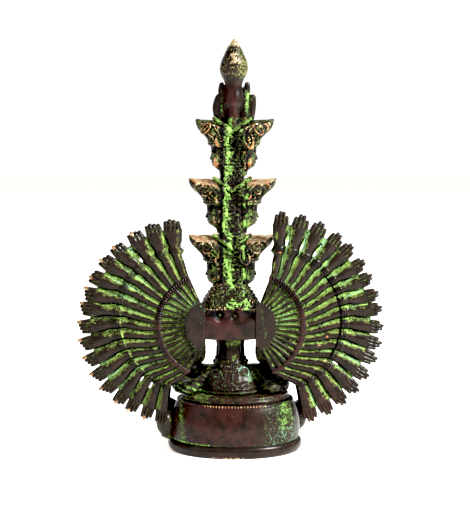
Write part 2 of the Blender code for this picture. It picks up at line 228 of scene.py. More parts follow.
# arm fans: a relief of seventeen arms and hands, bent round four circles; a place along an arm is
# -1 at the hub's line, 0 at its circle, 1 at the ribbed band, 2 at the bracelets and 3 at the fingertips
fanShape = {
    "arms": 17,
    "middleY": 14.79, "hubZ": 68.6, "outerRise": 3.2, "sweep": 3.0,
    "hubLineX": 13.3, "hubLineHalf": 11.0,
    "hubCircle": (10.3, 13.0), "innerBand": (10.3, 28.0), "bracelets": (23.6, 36.9),
    "fingertips": (26.9, 54.8),
    "topAngles": (66.0, 66.0, 87.0, 91.6), "hubBottomAngle": -66.0,
    "lowestArmExtra": 3.0,
    "floorHalf": 1.1, "crestHalf": 2.05, "hubHalf": 2.0,
    "fingers": (-0.33, -0.11, 0.11, 0.33), "fingerHalf": 0.108,
    "beadLine": 0.872, "bandLine": 0.99, "wrist": 2.10, "notch": 2.66, "ribsPerArm": 2.8,
    # mm added to the reach, by arm, for the left and the right fan, and how much wider the top arms stand
    "reach": {1: ((0, 4, 7, 9, 12, 15, 17), (-0.8, -1.7, -0.5, 1.2, 3.4, 2.2, 0.3)),
    -1: ((0, 4, 7, 10, 13, 15, 17), (3.5, 0.3, -1.2, 0.6, 2.4, 2.6, 0.8))},
    "spread": {1: (0.0, 0.1, 0.2, 0.2), -1: (0.0, 0.0, 0.03, 0.03)},
    # degrees the first two arms stand nearer the tower
    "topTurn": {1: (0.0, 0.0, 0.0, 0.0), -1: (0.0, 1.5, 5.0, 3.0)},
}


def fanColumns():  # shares of one arm's breadth, closer where the fingers round off
    shares = [-0.5, -0.465]
    for finger in fanShape["fingers"]:
        shares += [finger + off for off in (-0.096, -0.055, 0.0, 0.055, 0.096)]
    shares.append(0.465)
    return np.array(shares)


def fanRows():  # places along the arm as far as the wrist, then shares of the hand
    bars = np.concatenate([
        np.linspace(-1, -0.04, 17), np.linspace(0.0, 0.18, 8), np.linspace(0.22, 0.82, 12),
        np.linspace(0.85, 1.13, 21), np.linspace(1.17, 1.85, 16), np.linspace(1.88, 2.10, 14),
    ])
    hands = np.concatenate([
        np.linspace(0.04, 0.55, 13), np.linspace(0.58, 0.90, 10),
        1 - 0.1 * np.cos(np.linspace(0.35, 1.0, 7) * math.pi / 2),
    ])
    return bars, hands


def makeFan(name, side, lowest, slits, seams, seed):
    shape = fanShape
    rng = np.random.default_rng(seed)
    arms = shape["arms"]
    shares = fanColumns()
    u = np.concatenate([arm + 0.5 + shares for arm in range(arms)] + [[float(arms)]])
    arm = np.minimum(np.floor(u + 1e-6), arms - 1).astype(int)
    a = u - arm - 0.5
    perArm = len(shares)
    bars, hands = fanRows()
    # where each column of a hand ends: rounded fingertips, with a notch between two hands
    longest = [2 if k < 6 else (0 if k < 13 else 1) for k in range(arms)]
    reach = np.zeros((arms, 4))
    for k in range(arms):
        reach[k] = (
            np.array([2.875, 2.975, 2.995, 2.91] if side < 0 else [2.90, 2.965, 2.965, 2.89])
            + rng.uniform(-0.012, 0.012, 4)
        )
        if side > 0:
            reach[k] = 2.995 - 0.040 * np.abs(np.arange(4) - longest[k]) + rng.uniform(-0.006, 0.006, 4)
    if side < 0:
        reach = reach[:, ::-1]
    end = np.full(len(u), shape["notch"])
    fingerAt = np.full(len(u), -1)
    across = np.ones(len(u))
    for f, middle in enumerate(shape["fingers"]):
        off = (a - middle) / shape["fingerHalf"]
        inside = np.abs(off) < 1
        fingerAt[inside] = f
        across[inside] = off[inside]
        end[inside] = reach[arm[inside], f] - 0.045 * (1 - np.sqrt(1 - off[inside] ** 2))
    # one row for each place along the arms, one column for each place across them
    rowCount = len(bars) + len(hands)
    s = np.zeros((rowCount, len(u)))
    tau = np.zeros_like(s)
    s[: len(bars)] = bars[:, None]
    tau[len(bars):] = hands[:, None]
    s[len(bars):] = shape["wrist"] + (end[None, :] - shape["wrist"]) * hands[:, None]
    armWay, offArm, armNo, onFinger, fingerNo = (
        np.repeat(v[None, :], rowCount, 0) for v in (u, a, arm, across, fingerAt)
    )
    handness = ramp(s, 2.05, 2.35)
    fingerness = ramp(s, 2.60, 2.68)

    # half breadth of the bar, wrist or hand at each place
    inner = np.interp(armNo, (0, 6, 10, 16), (0.28, 0.30, 0.36, 0.38))
    outer = np.interp(armNo, (0, 7, 9, 11, 16), (0.35, 0.36, 0.39, 0.42, 0.43))
    girth = inner + (outer - inner) * ramp(s, 0.8, 1.2)
    girth += 0.035 * hill(s, 1.45, 0.22) - 0.035 * hill(s, 1.82, 0.08)
    girth += 0.050 * hill(s, 2.0, 0.07) - 0.040 * hill(s, 2.17, 0.06) + (0.462 - outer) * ramp(s, 2.2, 2.55)
    girth *= 1 + 0.05 * rng.standard_normal(arms)[armNo] * (1 - handness)
    w = np.abs(offArm) / girth
    crest = shape["hubHalf"] + (shape["crestHalf"] - shape["hubHalf"]) * ramp(s, 0.0, 1.0)
    bar = np.sqrt(clamp(1 - w**2.1))
    # strips start at the hub with a rounded end
    strip = ramp(s, 0.03, 0.12)
    low = crest - 1.25 * strip
    height = low + (crest - low) * bar
    # ribbed inner band
    band = np.sqrt(clamp(1 - ((s - shape["bandLine"]) / 0.095) ** 2))
    ribs = np.cos(2 * math.pi * (armWay * shape["ribsPerArm"] + 1.5 * s))
    ribDepth = np.interp(armWay, (0, 5, 9, 17), (0.34, 0.30, 0.12, 0.08))
    bandHeight = crest - 0.55 + band * (1.0 + ribDepth * (ribs - 0.3))
    height = np.where(band > 0, np.maximum(height, bandHeight), height)
    beads = (
        hill(s, shape["beadLine"], 0.018) * (0.5 + 0.5 * np.cos(2 * math.pi * armWay * 6.0))
        * ramp(armWay, 3.5, 5)
        * fall(armWay, 12, 14)
    )
    height += 0.45 * beads
    # bracelets: three rings round each wrist
    cuff = ramp(s, 1.90, 1.925) * fall(s, 2.075, 2.10) * ramp(0.45 - np.abs(offArm), 0.0, 0.05)
    cuffRings = 0.5 + 0.5 * np.cos(2 * math.pi * (s - 1.925) / 0.05)
    height += cuff * (0.30 + 0.60 * cuffRings) * clamp(1.35 - w)
    # hands: a domed back, then four fingers
    dome = 1 - 0.34 * (offArm / 0.46) ** 2
    palm = low + (crest * dome + 0.35 - low) * np.sqrt(clamp(1 - (np.abs(offArm) / girth) ** 3.0))
    height = height * (1 - handness) + palm * handness
    finger = 0.80 + (crest * dome - 0.35) * np.sqrt(clamp(1 - 0.95 * onFinger**2))
    finger += 0.20 * (hill(s, 2.69, 0.03) + hill(s, 2.83, 0.025))  # knuckles
    height = height * (1 - fingerness) + finger * fingerness
    rounding = np.sqrt(clamp(1 - clamp((tau - 0.88) / 0.12) ** 2))
    height *= 0.08 + 0.92 * rounding
    # the free edges of the first and last arm are rounded over
    edge = np.minimum(armWay, arms - armWay)
    height *= 0.25 + 0.75 * np.sqrt(clamp(edge / 0.16))
    height = np.where(s < 0, np.minimum(height, shape["hubHalf"]), height)

    # bend the flat relief round the circles
    sway = (
        0.05 * rng.standard_normal(arms)[armNo] * handness
        + 0.05 * np.sin(math.pi * clamp(s - 1) * 2) * ramp(s, 1.0, 1.2) * fall(s, 1.9, 2.0)
    )
    sway *= ramp(edge, 0.3, 1.2)
    squeeze = 0.5 - np.minimum(girth + 0.05 + 0.08 * ramp(s, 2.0, 2.3), 0.5)  # draws the outer edges in
    squeeze *= ramp(s, 0.9, 1.3)
    first, last = armNo == 0, armNo == arms - 1
    # fingers lean towards the middle of their hand
    together = 1 - 0.17 * ramp(s, 2.60, 3.05) * (np.abs(offArm) < 0.45)
    bent = armNo + 0.5 + offArm * together + sway
    bent = np.where(first & (offArm < 0), 0.5 + offArm * (1 - 2 * squeeze) * together, bent)
    bent = np.where(last & (offArm > 0), arms - 0.5 + offArm * (1 - 2 * squeeze) * together, bent)
    bump = (0.20 * hill(s, 1.98, 0.09) + (0.14 * band if side < 0 else 0)) * ramp(-offArm, -0.1, 0.4)
    bent = np.where(first, bent - bump, bent)
    bottoms = (shape["hubBottomAngle"], shape["hubBottomAngle"], lowest * 0.93, lowest)
    rings = []
    for index, key in enumerate(("hubCircle", "innerBand", "bracelets", "fingertips")):
        middleX, radius = shape[key]
        middleZ = shape["hubZ"] + (shape["outerRise"] if index > 1 else 0.0)
        down = bent / arms
        down = down + shape["spread"][side][index] * down * (1 - down)
        turn = np.radians(shape["topAngles"][index] + (bottoms[index] - shape["topAngles"][index]) * down)
        turn = turn + math.radians(shape["topTurn"][side][index]) * hill(bent, 0, 2.4)
        if index == 3:
            radius = (
                radius + shape["lowestArmExtra"] * (np.clip(bent, 0, arms) / arms) ** 8
                + np.interp(bent, *shape["reach"][side])
            )
        rings.append((middleX + radius * np.cos(turn), middleZ + radius * np.sin(turn)))
    lineX = np.full_like(armWay, shape["hubLineX"])
    lineZ = shape["hubZ"] + shape["hubLineHalf"] * (1 - 2 * armWay / arms)
    outward, upward = np.zeros_like(armWay), np.zeros_like(armWay)
    stations = [(-1, (lineX, lineZ))] + [(i, ring) for i, ring in enumerate(rings)]
    for (start, (x0, z0)), (stop, (x1, z1)) in zip(stations, stations[1:]):
        here = (s >= start) & ((s < stop) | (stop == 3))
        share = s - start
        outward[here] = (x0 + (x1 - x0) * share)[here]
        upward[here] = (z0 + (z1 - z0) * share)[here]
    far = clamp(
        (outward - shape["hubLineX"]) / (shape["fingertips"][0] + shape["fingertips"][1]
        - shape["hubLineX"])
    )
    middle = shape["middleY"] - shape["sweep"] * far**2
    spot = np.stack([outward, middle, upward], -1)
    recess = clamp((crest - height) / 0.6) * ramp(s, 0.03, 0.1) * fall(s, 2.66, 2.74)
    lumps = wobble(spot, 0.9, seed) + 0.6 * wobble(spot, 0.45, seed + 1)
    back = height + recess * 0.16 * lumps + 0.03 * wobble(spot, 1.4, seed + 2) * ramp(s, 0, 0.2)
    front = 0.35 + (height - 0.35) * 0.85

    # cells to keep: a few gaps between hands go right through
    keep = np.ones((rowCount - 1, len(u) - 1), bool)
    midS = 0.25 * (s[1:, 1:] + s[1:, :-1] + s[:-1, 1:] + s[:-1, :-1])
    for border, slitFrom, slitTo in slits:
        column = border * perArm
        for j in (column - 1, column):
            keep[:, j] &= ~((midS[:, j] > slitFrom) & (midS[:, j] < slitTo))
    widen = np.zeros_like(armWay)
    for border, slitFrom, slitTo in slits:
        opened = (
            ramp(s, slitFrom - 0.04, (slitFrom + slitTo) / 2)
            * fall(s, (slitFrom + slitTo) / 2, slitTo + 0.04)
        )
        near = np.abs(armWay - border)
        widen += np.where((near < 0.06) & (near > 0.01), np.sign(armWay - border) * 0.05 * opened, 0)
    outward, upward = (
        v + widen * np.gradient(v, axis=1) / np.maximum(np.gradient(armWay, axis=1), 1e-6)
        for v in (outward, upward)
    )

    backPoints = np.stack([side * outward, middle + back, upward], -1) * mm
    frontPoints = np.stack([side * outward, middle - front, upward], -1) * mm
    count = rowCount * len(u)
    index = np.arange(count).reshape(rowCount, len(u))
    i, j = np.nonzero(keep)
    a0, a1, b1, b0 = index[i, j], index[i, j + 1], index[i + 1, j + 1], index[i + 1, j]
    faces = [np.stack([a0, b0, b1, a1], -1), np.stack([a0, a1, b1, b0], -1) + count]
    padded = np.pad(keep, 1)
    walls = []
    for axis in (0, 1):  # a wall wherever a kept cell has no neighbour
        here = padded[1:-1, 1:-1]
        before = padded[:-2, 1:-1] if axis == 0 else padded[1:-1, :-2]
        after = padded[2:, 1:-1] if axis == 0 else padded[1:-1, 2:]
        for other, shift in ((before, 0), (after, 1)):
            i, j = np.nonzero(here & ~other)
            if axis == 0:
                p, q = index[i + shift, j], index[i + shift, j + 1]
            else:
                p, q = index[i, j + shift], index[i + 1, j + shift]
            if (axis == 0) == (shift == 0):
                p, q = q, p
            walls.append(np.stack([q, p, p + count, q + count], -1))
    faces = np.concatenate(faces + walls)
    if side < 0:
        faces = faces[:, ::-1]

    # painting
    region = wobble(spot, 14.0, seed + 5)
    blotch = wobble(spot, 5.0, seed + 6)
    streak = wobble(spot, 2.2, seed + 7)
    inside = 1 - ramp(s, 0.86, 0.98)
    strong = (
        inside * np.interp(armWay, (0, 3, 8, 11, 17),
        (0.68 if side > 0 else 0.42, 0.66 if side > 0 else 0.50, 0.62, 0.52, 0.46))
    )
    strong += (
        (1 - inside) * np.interp(armWay, (0, 7, 8.5, 10, 11.5, 17), (0.70, 0.66, 0.50, 0.47, 0.60, 0.62))
    )
    patinaBack = (
        0.05 + (strong + 0.22 * blotch + 0.15 * streak) * ramp(recess, 0.30, 0.80)
        * (1 - 0.85 * ramp(band, 0.1, 0.5))
    )
    patinaBack -= 0.25 * ramp(s, 2.60, 2.74)
    palmEdge = (
        ramp(s, 2.2, 2.4) * fall(s, 2.6, 2.7) * ramp(w, 0.72, 0.98) * ramp(region + 0.3 * blotch, 0.0, 0.5)
    )
    patinaBack += 0.35 * palmEdge
    fingerGroove = ramp(np.abs(onFinger), 0.72, 0.97) * fingerness * fall(tau, 0.85, 0.97)
    patinaBack = np.where(
        fingerness > 0.5, 0.08 + 0.74 * fingerGroove * ramp(blotch + streak, -0.6, 0.2)
        * np.interp(armWay, (0, 8, 17), (1.0, 0.8, 0.6)), patinaBack
    )
    sprinkle = (
        hill(s, 1.895, 0.022) * ramp(armWay, 7.2, 8.0) * fall(armWay, 13.6, 14.6) if side > 0
        else np.zeros_like(s)
    )
    patinaBack += (0.06 if side < 0 else 0.0) * ramp(recess, 0.30, 0.80)
    patinaBack = np.maximum(patinaBack, 0.95 * sprinkle * (0.45 + 0.8 * blotch + 0.5 * streak))
    patinaBack += 0.55 * beads
    freeEdge = ((armNo == 0) & (offArm < -0.2)) | ((armNo == arms - 1) & (offArm > 0.2))
    patinaBack = np.where(
        freeEdge & (s > 0.02), 0.10 + 0.3 * ramp(blotch, 0.1, 0.5) + 0.5 * hill(s, 1.97, 0.06), patinaBack
    )
    ring = cuff * ramp(cuffRings, 0.55, 0.95) * clamp(1.25 - w)
    patinaBack += 0.42 * ring * ramp(blotch + 0.5 * streak, -0.4, 0.2)
    # where a strip meets the next arm's upper flank: a painted teal-grey highlight along the lit edge of
    # the strip
    litStripEdge = hill(offArm, -(girth + 0.035), 0.035) * ramp(s, 0.05, 0.2)
    tealBack = (
        0.08 + 0.5 * ring + 0.85 * litStripEdge * ramp(region, -0.25, 0.3)
        + 0.40 * region * ramp(recess, 0.3, 0.8) + 0.4 * hill(s, 0.06, 0.05)
    )
    # painted shade, near black: beside each arm's shaded flank, in the finger, rib and bracelet grooves and
    # along the ribbed band, with dark grime mottling the recesses
    shadeAndGrimeBack = (
        0.95 * hill(offArm, girth + 0.01, 0.050) * ramp(s, 0.05, 0.2) * fall(s, 2.3, 2.6) * (1 - band)
    )
    shadeAndGrimeBack = np.maximum(shadeAndGrimeBack, 0.24 * fingerGroove)
    tealBack += 0.30 * fingerGroove
    shadeAndGrimeBack = np.maximum(shadeAndGrimeBack, 0.85 * ramp(-lumps, 0.30, 0.75) * ramp(recess, 0.25, 0.7))
    shadeAndGrimeBack += (
        0.55 * ramp(w, 0.80, 1.0) * (offArm < 0) * fall(w, 1.03, 1.15) * ramp(streak, -0.1, 0.4)
        * (1 - fingerness)
    )
    shadeAndGrimeBack = np.maximum(
        shadeAndGrimeBack, 0.9 * ramp(band, 0.2, 0.6) * ramp(-ribs, -0.2, 0.6) * ramp(ribDepth, 0.1, 0.3)
    )
    shadeAndGrimeBack = np.maximum(shadeAndGrimeBack, 0.95 * cuff * ramp(1 - cuffRings, 0.4, 0.9))
    # painted shade over the shaded flank beside each arm
    shadeAndGrimeBack += (
        (0.50 + 0.4 * blotch) * ramp(w, 0.35, 0.95) * (offArm > 0) * fall(w, 1.0, 1.3) * ramp(s, 0.1, 0.3)
        * (1 - fingerness)
    )
    shadeAndGrimeBack = np.maximum(shadeAndGrimeBack, 0.8 * hill(s, 0.865, 0.02) * (1 - beads) * ramp(w, 0.2, 0.7))
    wearBack = np.zeros_like(s)
    for k in range(arms):
        f = longest[k] if side > 0 else 3 - longest[k]
        mine = (armNo == k) & (fingerNo == f)
        wearBack = np.where(
            mine, (0.75 + 0.25 * rng.random()) * ramp(tau, 0.76, 0.90)
            * ((0.72 if 1 < k < 16 else 0.45) if side > 0 else 0.45 * (k > 10)), wearBack
        )
    wearBack += 0.66 * beads + 0.45 * ramp(band, 0.6, 0.95) * ramp(armWay, 8.5, 11) * (0.6 + 0.6 * streak)
    # a painted highlight: a light olive line along the lit flank of each bar, carried by the patina and
    # olive amounts
    crestHighlight = hill(offArm, -0.55 * girth, 0.10) * ramp(s, 0.1, 0.3) * (1 - fingerness) * (1 - band)
    patinaBack += 0.62 * crestHighlight * ramp(streak + blotch, -0.4, 0.3)
    spots = np.zeros_like(s)
    # a dark line along the bracelets, green outside it and beside the ribbed band, and a few bare spots
    if side < 0:
        reachLine = ramp(armWay, 4.2, 5.0) * fall(armWay, 12.5, 13.5)
        shadeAndGrimeBack = np.maximum(shadeAndGrimeBack, 1.1 * hill(s, 1.915, 0.022) * reachLine)
        patinaBack += (
            0.35 * hill(s, 2.05, 0.09) * ramp(armWay, 7, 8) * fall(armWay, 12.5, 13.5)
            * ramp(recess, 0.2, 0.7)
        )
        patinaBack = np.maximum(
            patinaBack, 0.85 * hill(s, 1.11, 0.022) * ramp(armWay, 1.5, 3) * fall(armWay, 12, 13.5)
            * (0.8 + 0.4 * streak)
        )
        for across, along in ((0.6, 1.94), (10.5, 1.62), (11.4, 1.50), (13.2, 1.88)):
            spots = np.maximum(spots, blob(armWay, s, (across, along), (0.22, 0.06)))
    wearBack += 0.75 * spots
    toneBack = 0.6 * band + 0.12 + 0.2 * blotch + (0.30 if side > 0 else 0.10) * fall(s, -1.0, -0.5)
    if side < 0:
        toneBack += 0.45 * ramp(armWay, 13.5, 15.5) * ramp(s, 2.0, 2.2)
    for line in seams:  # where the plate was soldered on
        line = np.array(line)
        for p, q in zip(line, line[1:]):
            along = clamp(
                ((outward - p[0]) * (q[0] - p[0]) + (upward - p[1]) * (q[1] - p[1])) / ((q - p) ** 2).sum()
            )
            away = np.hypot(outward - p[0] - along * (q[0] - p[0]), upward - p[1] - along * (q[1] - p[1]))
            near = fall(away, 0.10, 0.45) * (s < 0.02) * (0.6 + 0.5 * streak)
            patinaBack = np.maximum(patinaBack, 0.8 * near)
            tealBack = np.maximum(tealBack, 0.8 * near)
    values = {}
    for key, amount, frontShare in (
        ("patina", patinaBack, 0.8), ("teal", tealBack, 1.0), ("wear", wearBack, 0.8),
        ("tone", toneBack, 1.0), ("paintedShadeAndGrime", shadeAndGrimeBack, 0.9),
    ):
        values[key] = np.concatenate([amount.ravel(), frontShare * amount.ravel()])
    values["olive"] = np.concatenate(
        [np.clip(0.25 - 0.4 * region + 0.7 * crestHighlight + 0.5 * ring, 0, 0.9).ravel()] * 2
    )
    points = np.concatenate([backPoints.reshape(-1, 3), frontPoints.reshape(-1, 3)])
    return meshFrom(name, points, faces.tolist(), values)


leftSeams = (((16.0, 79.5), (13.4, 76.4)),)
rightSeams = (((15.2, 78.8), (17.3, 75.4), (16.9, 71.6), (19.0, 64.9), (17.9, 62.2)),)
leftFan = makeFan("leftFan", 1, -83.4, ((3, 2.06, 2.20), (14, 2.06, 2.2), (15, 2.06, 2.22)), leftSeams, 11)
rightFan = makeFan(
    "rightFan", -1, -78.3, ((1, 2.13, 2.30), (2, 2.12, 2.27), (3, 2.10, 2.25), (13, 2.06, 2.2)),
    rightSeams, 23
)
brass = castBrass("patinatedBrass")
dress(leftFan, "left_arm_fan", brass)
dress(rightFan, "right_arm_fan", brass)


# cast pieces: overlapping parts joined, melted into one skin, then painted by hollow and ridge;
# the helpers that add a part take mm, or another unit for an ornament that is scaled afterwards
def addBall(place, size, segments=24, rings=14, unit=mm):
    clearSelection()
    place, size = (tuple(np.asarray(v) * unit) for v in (place, size))
    bpy.ops.mesh.primitive_uv_sphere_add(segments=segments, ring_count=rings, radius=1.0, location=place)
    ball = bpy.context.object
    ball.scale = size
    bpy.ops.object.transform_apply(location=True, rotation=True, scale=True)
    return ball


def addHoop(place, radius, thickness, turn, unit=mm):
    clearSelection()
    bpy.ops.mesh.primitive_torus_add(
        major_radius=radius * unit, minor_radius=thickness * unit, major_segments=40, minor_segments=10,
        location=tuple(np.asarray(place) * unit), rotation=turn)
    bpy.ops.object.transform_apply(location=True, rotation=True, scale=True)
    return bpy.context.object


def addBar(path, radii, sides=3):  # a round bar on a smooth path, with rounded ends
    path = [tuple(np.asarray(place) * mm) for place in path]
    radii = [radius * mm for radius in radii]
    clearSelection()
    curve = bpy.data.curves.new("bar", "CURVE")
    curve.dimensions = "3D"
    curve.bevel_depth = 1.0
    curve.bevel_resolution = sides
    curve.resolution_u = 6
    curve.use_fill_caps = True
    spline = curve.splines.new("NURBS")
    spline.points.add(len(path) - 1)
    for knot, place, radius in zip(spline.points, path, radii):
        knot.co = (*place, 1.0)
        knot.radius = radius
    spline.use_endpoint_u = True
    spline.order_u = 3
    bar = bpy.data.objects.new("bar", curve)
    bpy.context.scene.collection.objects.link(bar)
    pick(bar)
    bpy.ops.object.convert(target="MESH")
    bar = bpy.context.object
    return joined([bar] + [addBall(path[n], (radii[n],) * 3, 12, 8, 1) for n in (0, -1)])


def joined(things, name=None):
    pick(*things)
    bpy.ops.object.join()
    whole = bpy.context.object
    if name:
        whole.name = name
    return whole


def spinLoft(name, rows):  # rows of rings, each an array of points, closed with a pole at both ends
    rows = np.asarray(rows) * mm
    count, around = rows.shape[:2]
    points = np.concatenate([rows.reshape(-1, 3), rows[0].mean(0)[None], rows[-1].mean(0)[None]])
    ring = np.arange(count * around).reshape(count, around)
    after = np.roll(ring, -1, 1)
    quads = np.stack([ring[:-1], after[:-1], after[1:], ring[1:]], -1).reshape(-1, 4).tolist()
    low = np.stack([after[0], ring[0], np.full(around, count * around)], -1).tolist()
    high = np.stack([ring[-1], after[-1], np.full(around, count * around + 1)], -1).tolist()
    return meshFrom(name, points, quads + low + high)


def scatterBalls(name, places, sizes, sides=8, rings=5, unit=mm):  # many small beads as one mesh
    ball = bmesh.new()
    bmesh.ops.create_uvsphere(ball, u_segments=sides, v_segments=rings, radius=1.0)
    ball.verts.index_update()
    corners = np.array([v.co for v in ball.verts])
    faces = [[v.index for v in f.verts] for f in ball.faces]
    ball.free()
    points, allFaces = [], []
    for n, (place, size) in enumerate(zip(places, sizes)):
        points.append(corners * (np.asarray(size) * unit) + np.asarray(place) * unit)
        allFaces += [[v + n * len(corners) for v in f] for f in faces]
    return meshFrom(name, np.concatenate(points), allFaces)


def melt(thing, voxel, most, smoothing=1):  # one closed skin, no finer than it needs to be
    pick(thing)
    for kind, settings in (
        ("REMESH", {"mode": "VOXEL", "voxel_size": voxel}),
        ("SMOOTH", {"factor": 0.5, "iterations": smoothing}),
    ):
        made = thing.modifiers.new(kind.lower(), kind)
        for key, value in settings.items():
            setattr(made, key, value)
        bpy.ops.object.modifier_apply(modifier=made.name)
    faces = 2 * len(thing.data.polygons)
    print(thing.name, "melted:", faces, "triangles")
    if faces > most:
        made = thing.modifiers.new("thin", "DECIMATE")
        made.ratio = most / faces
        bpy.ops.object.modifier_apply(modifier=made.name)
    thing.data.shade_smooth()
    return thing


def reliefOf(thing, turns):  # how far each point stands out of its surroundings, in mm, and its normal
    mesh = thing.data
    count = len(mesh.vertices)
    points, normals = np.empty((count, 3)), np.empty((count, 3))
    mesh.vertices.foreach_get("co", points.ravel())
    mesh.vertices.foreach_get("normal", normals.ravel())
    edges = np.empty(len(mesh.edges) * 2, dtype=np.int64)
    mesh.edges.foreach_get("vertices", edges)
    a, b = edges.reshape(-1, 2).T
    ends = np.concatenate([a, b])
    others = np.concatenate([b, a])
    degree = np.maximum(np.bincount(ends, minlength=count), 1)[:, None]
    flat = points.copy()
    out = []
    done = 0
    for turn in turns:
        for _ in range(turn - done):
            mean = np.stack([np.bincount(ends, flat[others, c], count) for c in range(3)], -1) / degree
            flat = 0.4 * flat + 0.6 * mean
        done = turn
        out.append(((points - flat) * normals).sum(1) / mm)
    return points, normals, out


def evenOut(values):  # relief on a scale where most of a piece lies between -1 and 1
    return np.clip(values / np.percentile(np.abs(values), 80), -2, 2)


def roughen(thing, depth, size, seed):  # the uneven skin of a rough casting; depth is in mm, for each point
    points, normals, _ = reliefOf(thing, ())
    veins = (
        1 - 2.2 * np.abs(wobble(points, size * mm, seed)) + 0.6 * wobble(points, size * 0.45 * mm, seed + 1)
    )
    points = points + normals * (depth * (veins - 0.55))[:, None] * mm
    thing.data.vertices.foreach_set("co", points.ravel())
    thing.data.update()


def setTurned(thing, centre, yaw, lean, size):  # a small ornament made at the origin, put in its place
    spot = Matrix.Translation(Vector(np.asarray(centre, float) * mm))
    spot = spot @ Matrix.Rotation(yaw, 4, "Z") @ Matrix.Rotation(lean, 4, "Y")
    thing.data.transform(spot @ Matrix.Diagonal((size[0] * mm, size[1] * mm, size[2] * mm, 1.0)))
    return thing


def addLeaf(centre, yaw, lean, wide, tall):  # an oval crown leaf: rim, boss and ribs
    parts = [
        addHoop((0, 0, 0), 0.94, 0.26, (math.radians(90), 0, 0), 1),
        addBall((0, 0, 0), (0.50, 0.28, 0.62), unit=1)
    ]
    ribs = [(0.0, 0.24, z) for z in np.linspace(-0.5, 0.5, 5)]
    parts.append(scatterBalls("ribs", ribs, [(0.42, 0.14, 0.06)] * 5, unit=1))
    return setTurned(joined(parts), centre, yaw, lean, (wide / 2, 3.0, tall / 2))


def addPanel(centre, yaw, lean, wide, tall):  # a ribbed square panel
    bars = [(0.0, 0.0, z) for z in np.linspace(-0.8, 0.8, 5)]
    parts = [
        scatterBalls("bars", bars, [(0.95, 0.9, 0.14)] * 5, unit=1),
        addBall((0, -0.3, 0), (1.05, 0.8, 1.1), unit=1)
    ]
    return setTurned(joined(parts), centre, yaw, lean, (wide / 2, 0.8, tall / 2))


# tower of heads
towerShape = {
    "footZ": 80.0, "height": 140.0, "lean": -2.0, "middleY": 3.55, "crownTop": 0.955,
    "tiers": ((0.070, 0.182), (0.292, 0.176), (0.512, 0.180)),
    # of the heads, forwards
    "stretch": ({-90: 1.01, 0: 1.0, 90: 1.0}, {-90: 1.09, 0: 1.0, 90: 1.05}, {-90: 0.99, 0: 1.0, 90: 0.88}),
    # crown leaves behind: x off the axis, drop from the crown's top, lean, width and height
    "leaves": (
        ((5.6, 10.5, -12, 5.0, 6.6), (-7.4, 9.8, 12, 5.2, 6.8), (11.5, 4.2, -42, 4.4, 7.0),
        (-12.5, 4.2, 42, 4.4, 7.0)),
        ((5.8, 7.0, -18, 4.8, 8.0), (-7.4, 5.0, 30, 4.6, 7.6), (12.5, 4.2, -46, 4.0, 7.4),
        (-13.0, 3.6, 46, 3.6, 6.0)),
        ((5.2, 7.6, -24, 6.4, 9.6), (-8.2, 8.0, 18, 4.6, 10.8), (14.0, 3.2, -46, 3.6, 6.6),
        (-13.6, 3.6, 44, 3.8, 6.4)),
    ),
    # lobes beside the tenth head: places off the axis and up it, and radii
    "lobes": (
        (((8.0, 0.700), (9.3, 0.740), (7.8, 0.778)), (1.9, 3.0, 1.9)),
        (((6.2, 0.782), (6.6, 0.806), (6.3, 0.826)), (1.7, 1.9, 1.4)),
        (((-9.2, 0.700), (-10.2, 0.740), (-10.0, 0.776)), (2.0, 2.3, 2.0)),
        (((-6.8, 0.782), (-7.2, 0.806), (-7.2, 0.826)), (1.7, 1.9, 1.5)),
        (((5.0, 0.680), (6.0, 0.735), (5.2, 0.800)), (3.6, 3.2, 2.2)),
        (((-5.4, 0.680), (-6.6, 0.735), (-6.0, 0.800)), (3.6, 3.2, 2.2)),
    ),
    "voxel": 0.26, "most": 195000,
}


def towerAxis(share):
    shape = towerShape
    return np.array([shape["lean"] * share, shape["middleY"], shape["footZ"] + share * shape["height"]])


# places on a head: up it in shares of its height, round it in radians from the middle of the face
faceShape = {
    "noseTip": 0.182, "upperLip": 0.135, "lowerLip": 0.112, "chin": 0.06, "eyes": 0.262, "lidEdge": 0.248,
    "brows": 0.315, "browMark": 0.345, "eyeTurn": 0.46, "earTurn": 1.55, "crownBand": 0.50,
}


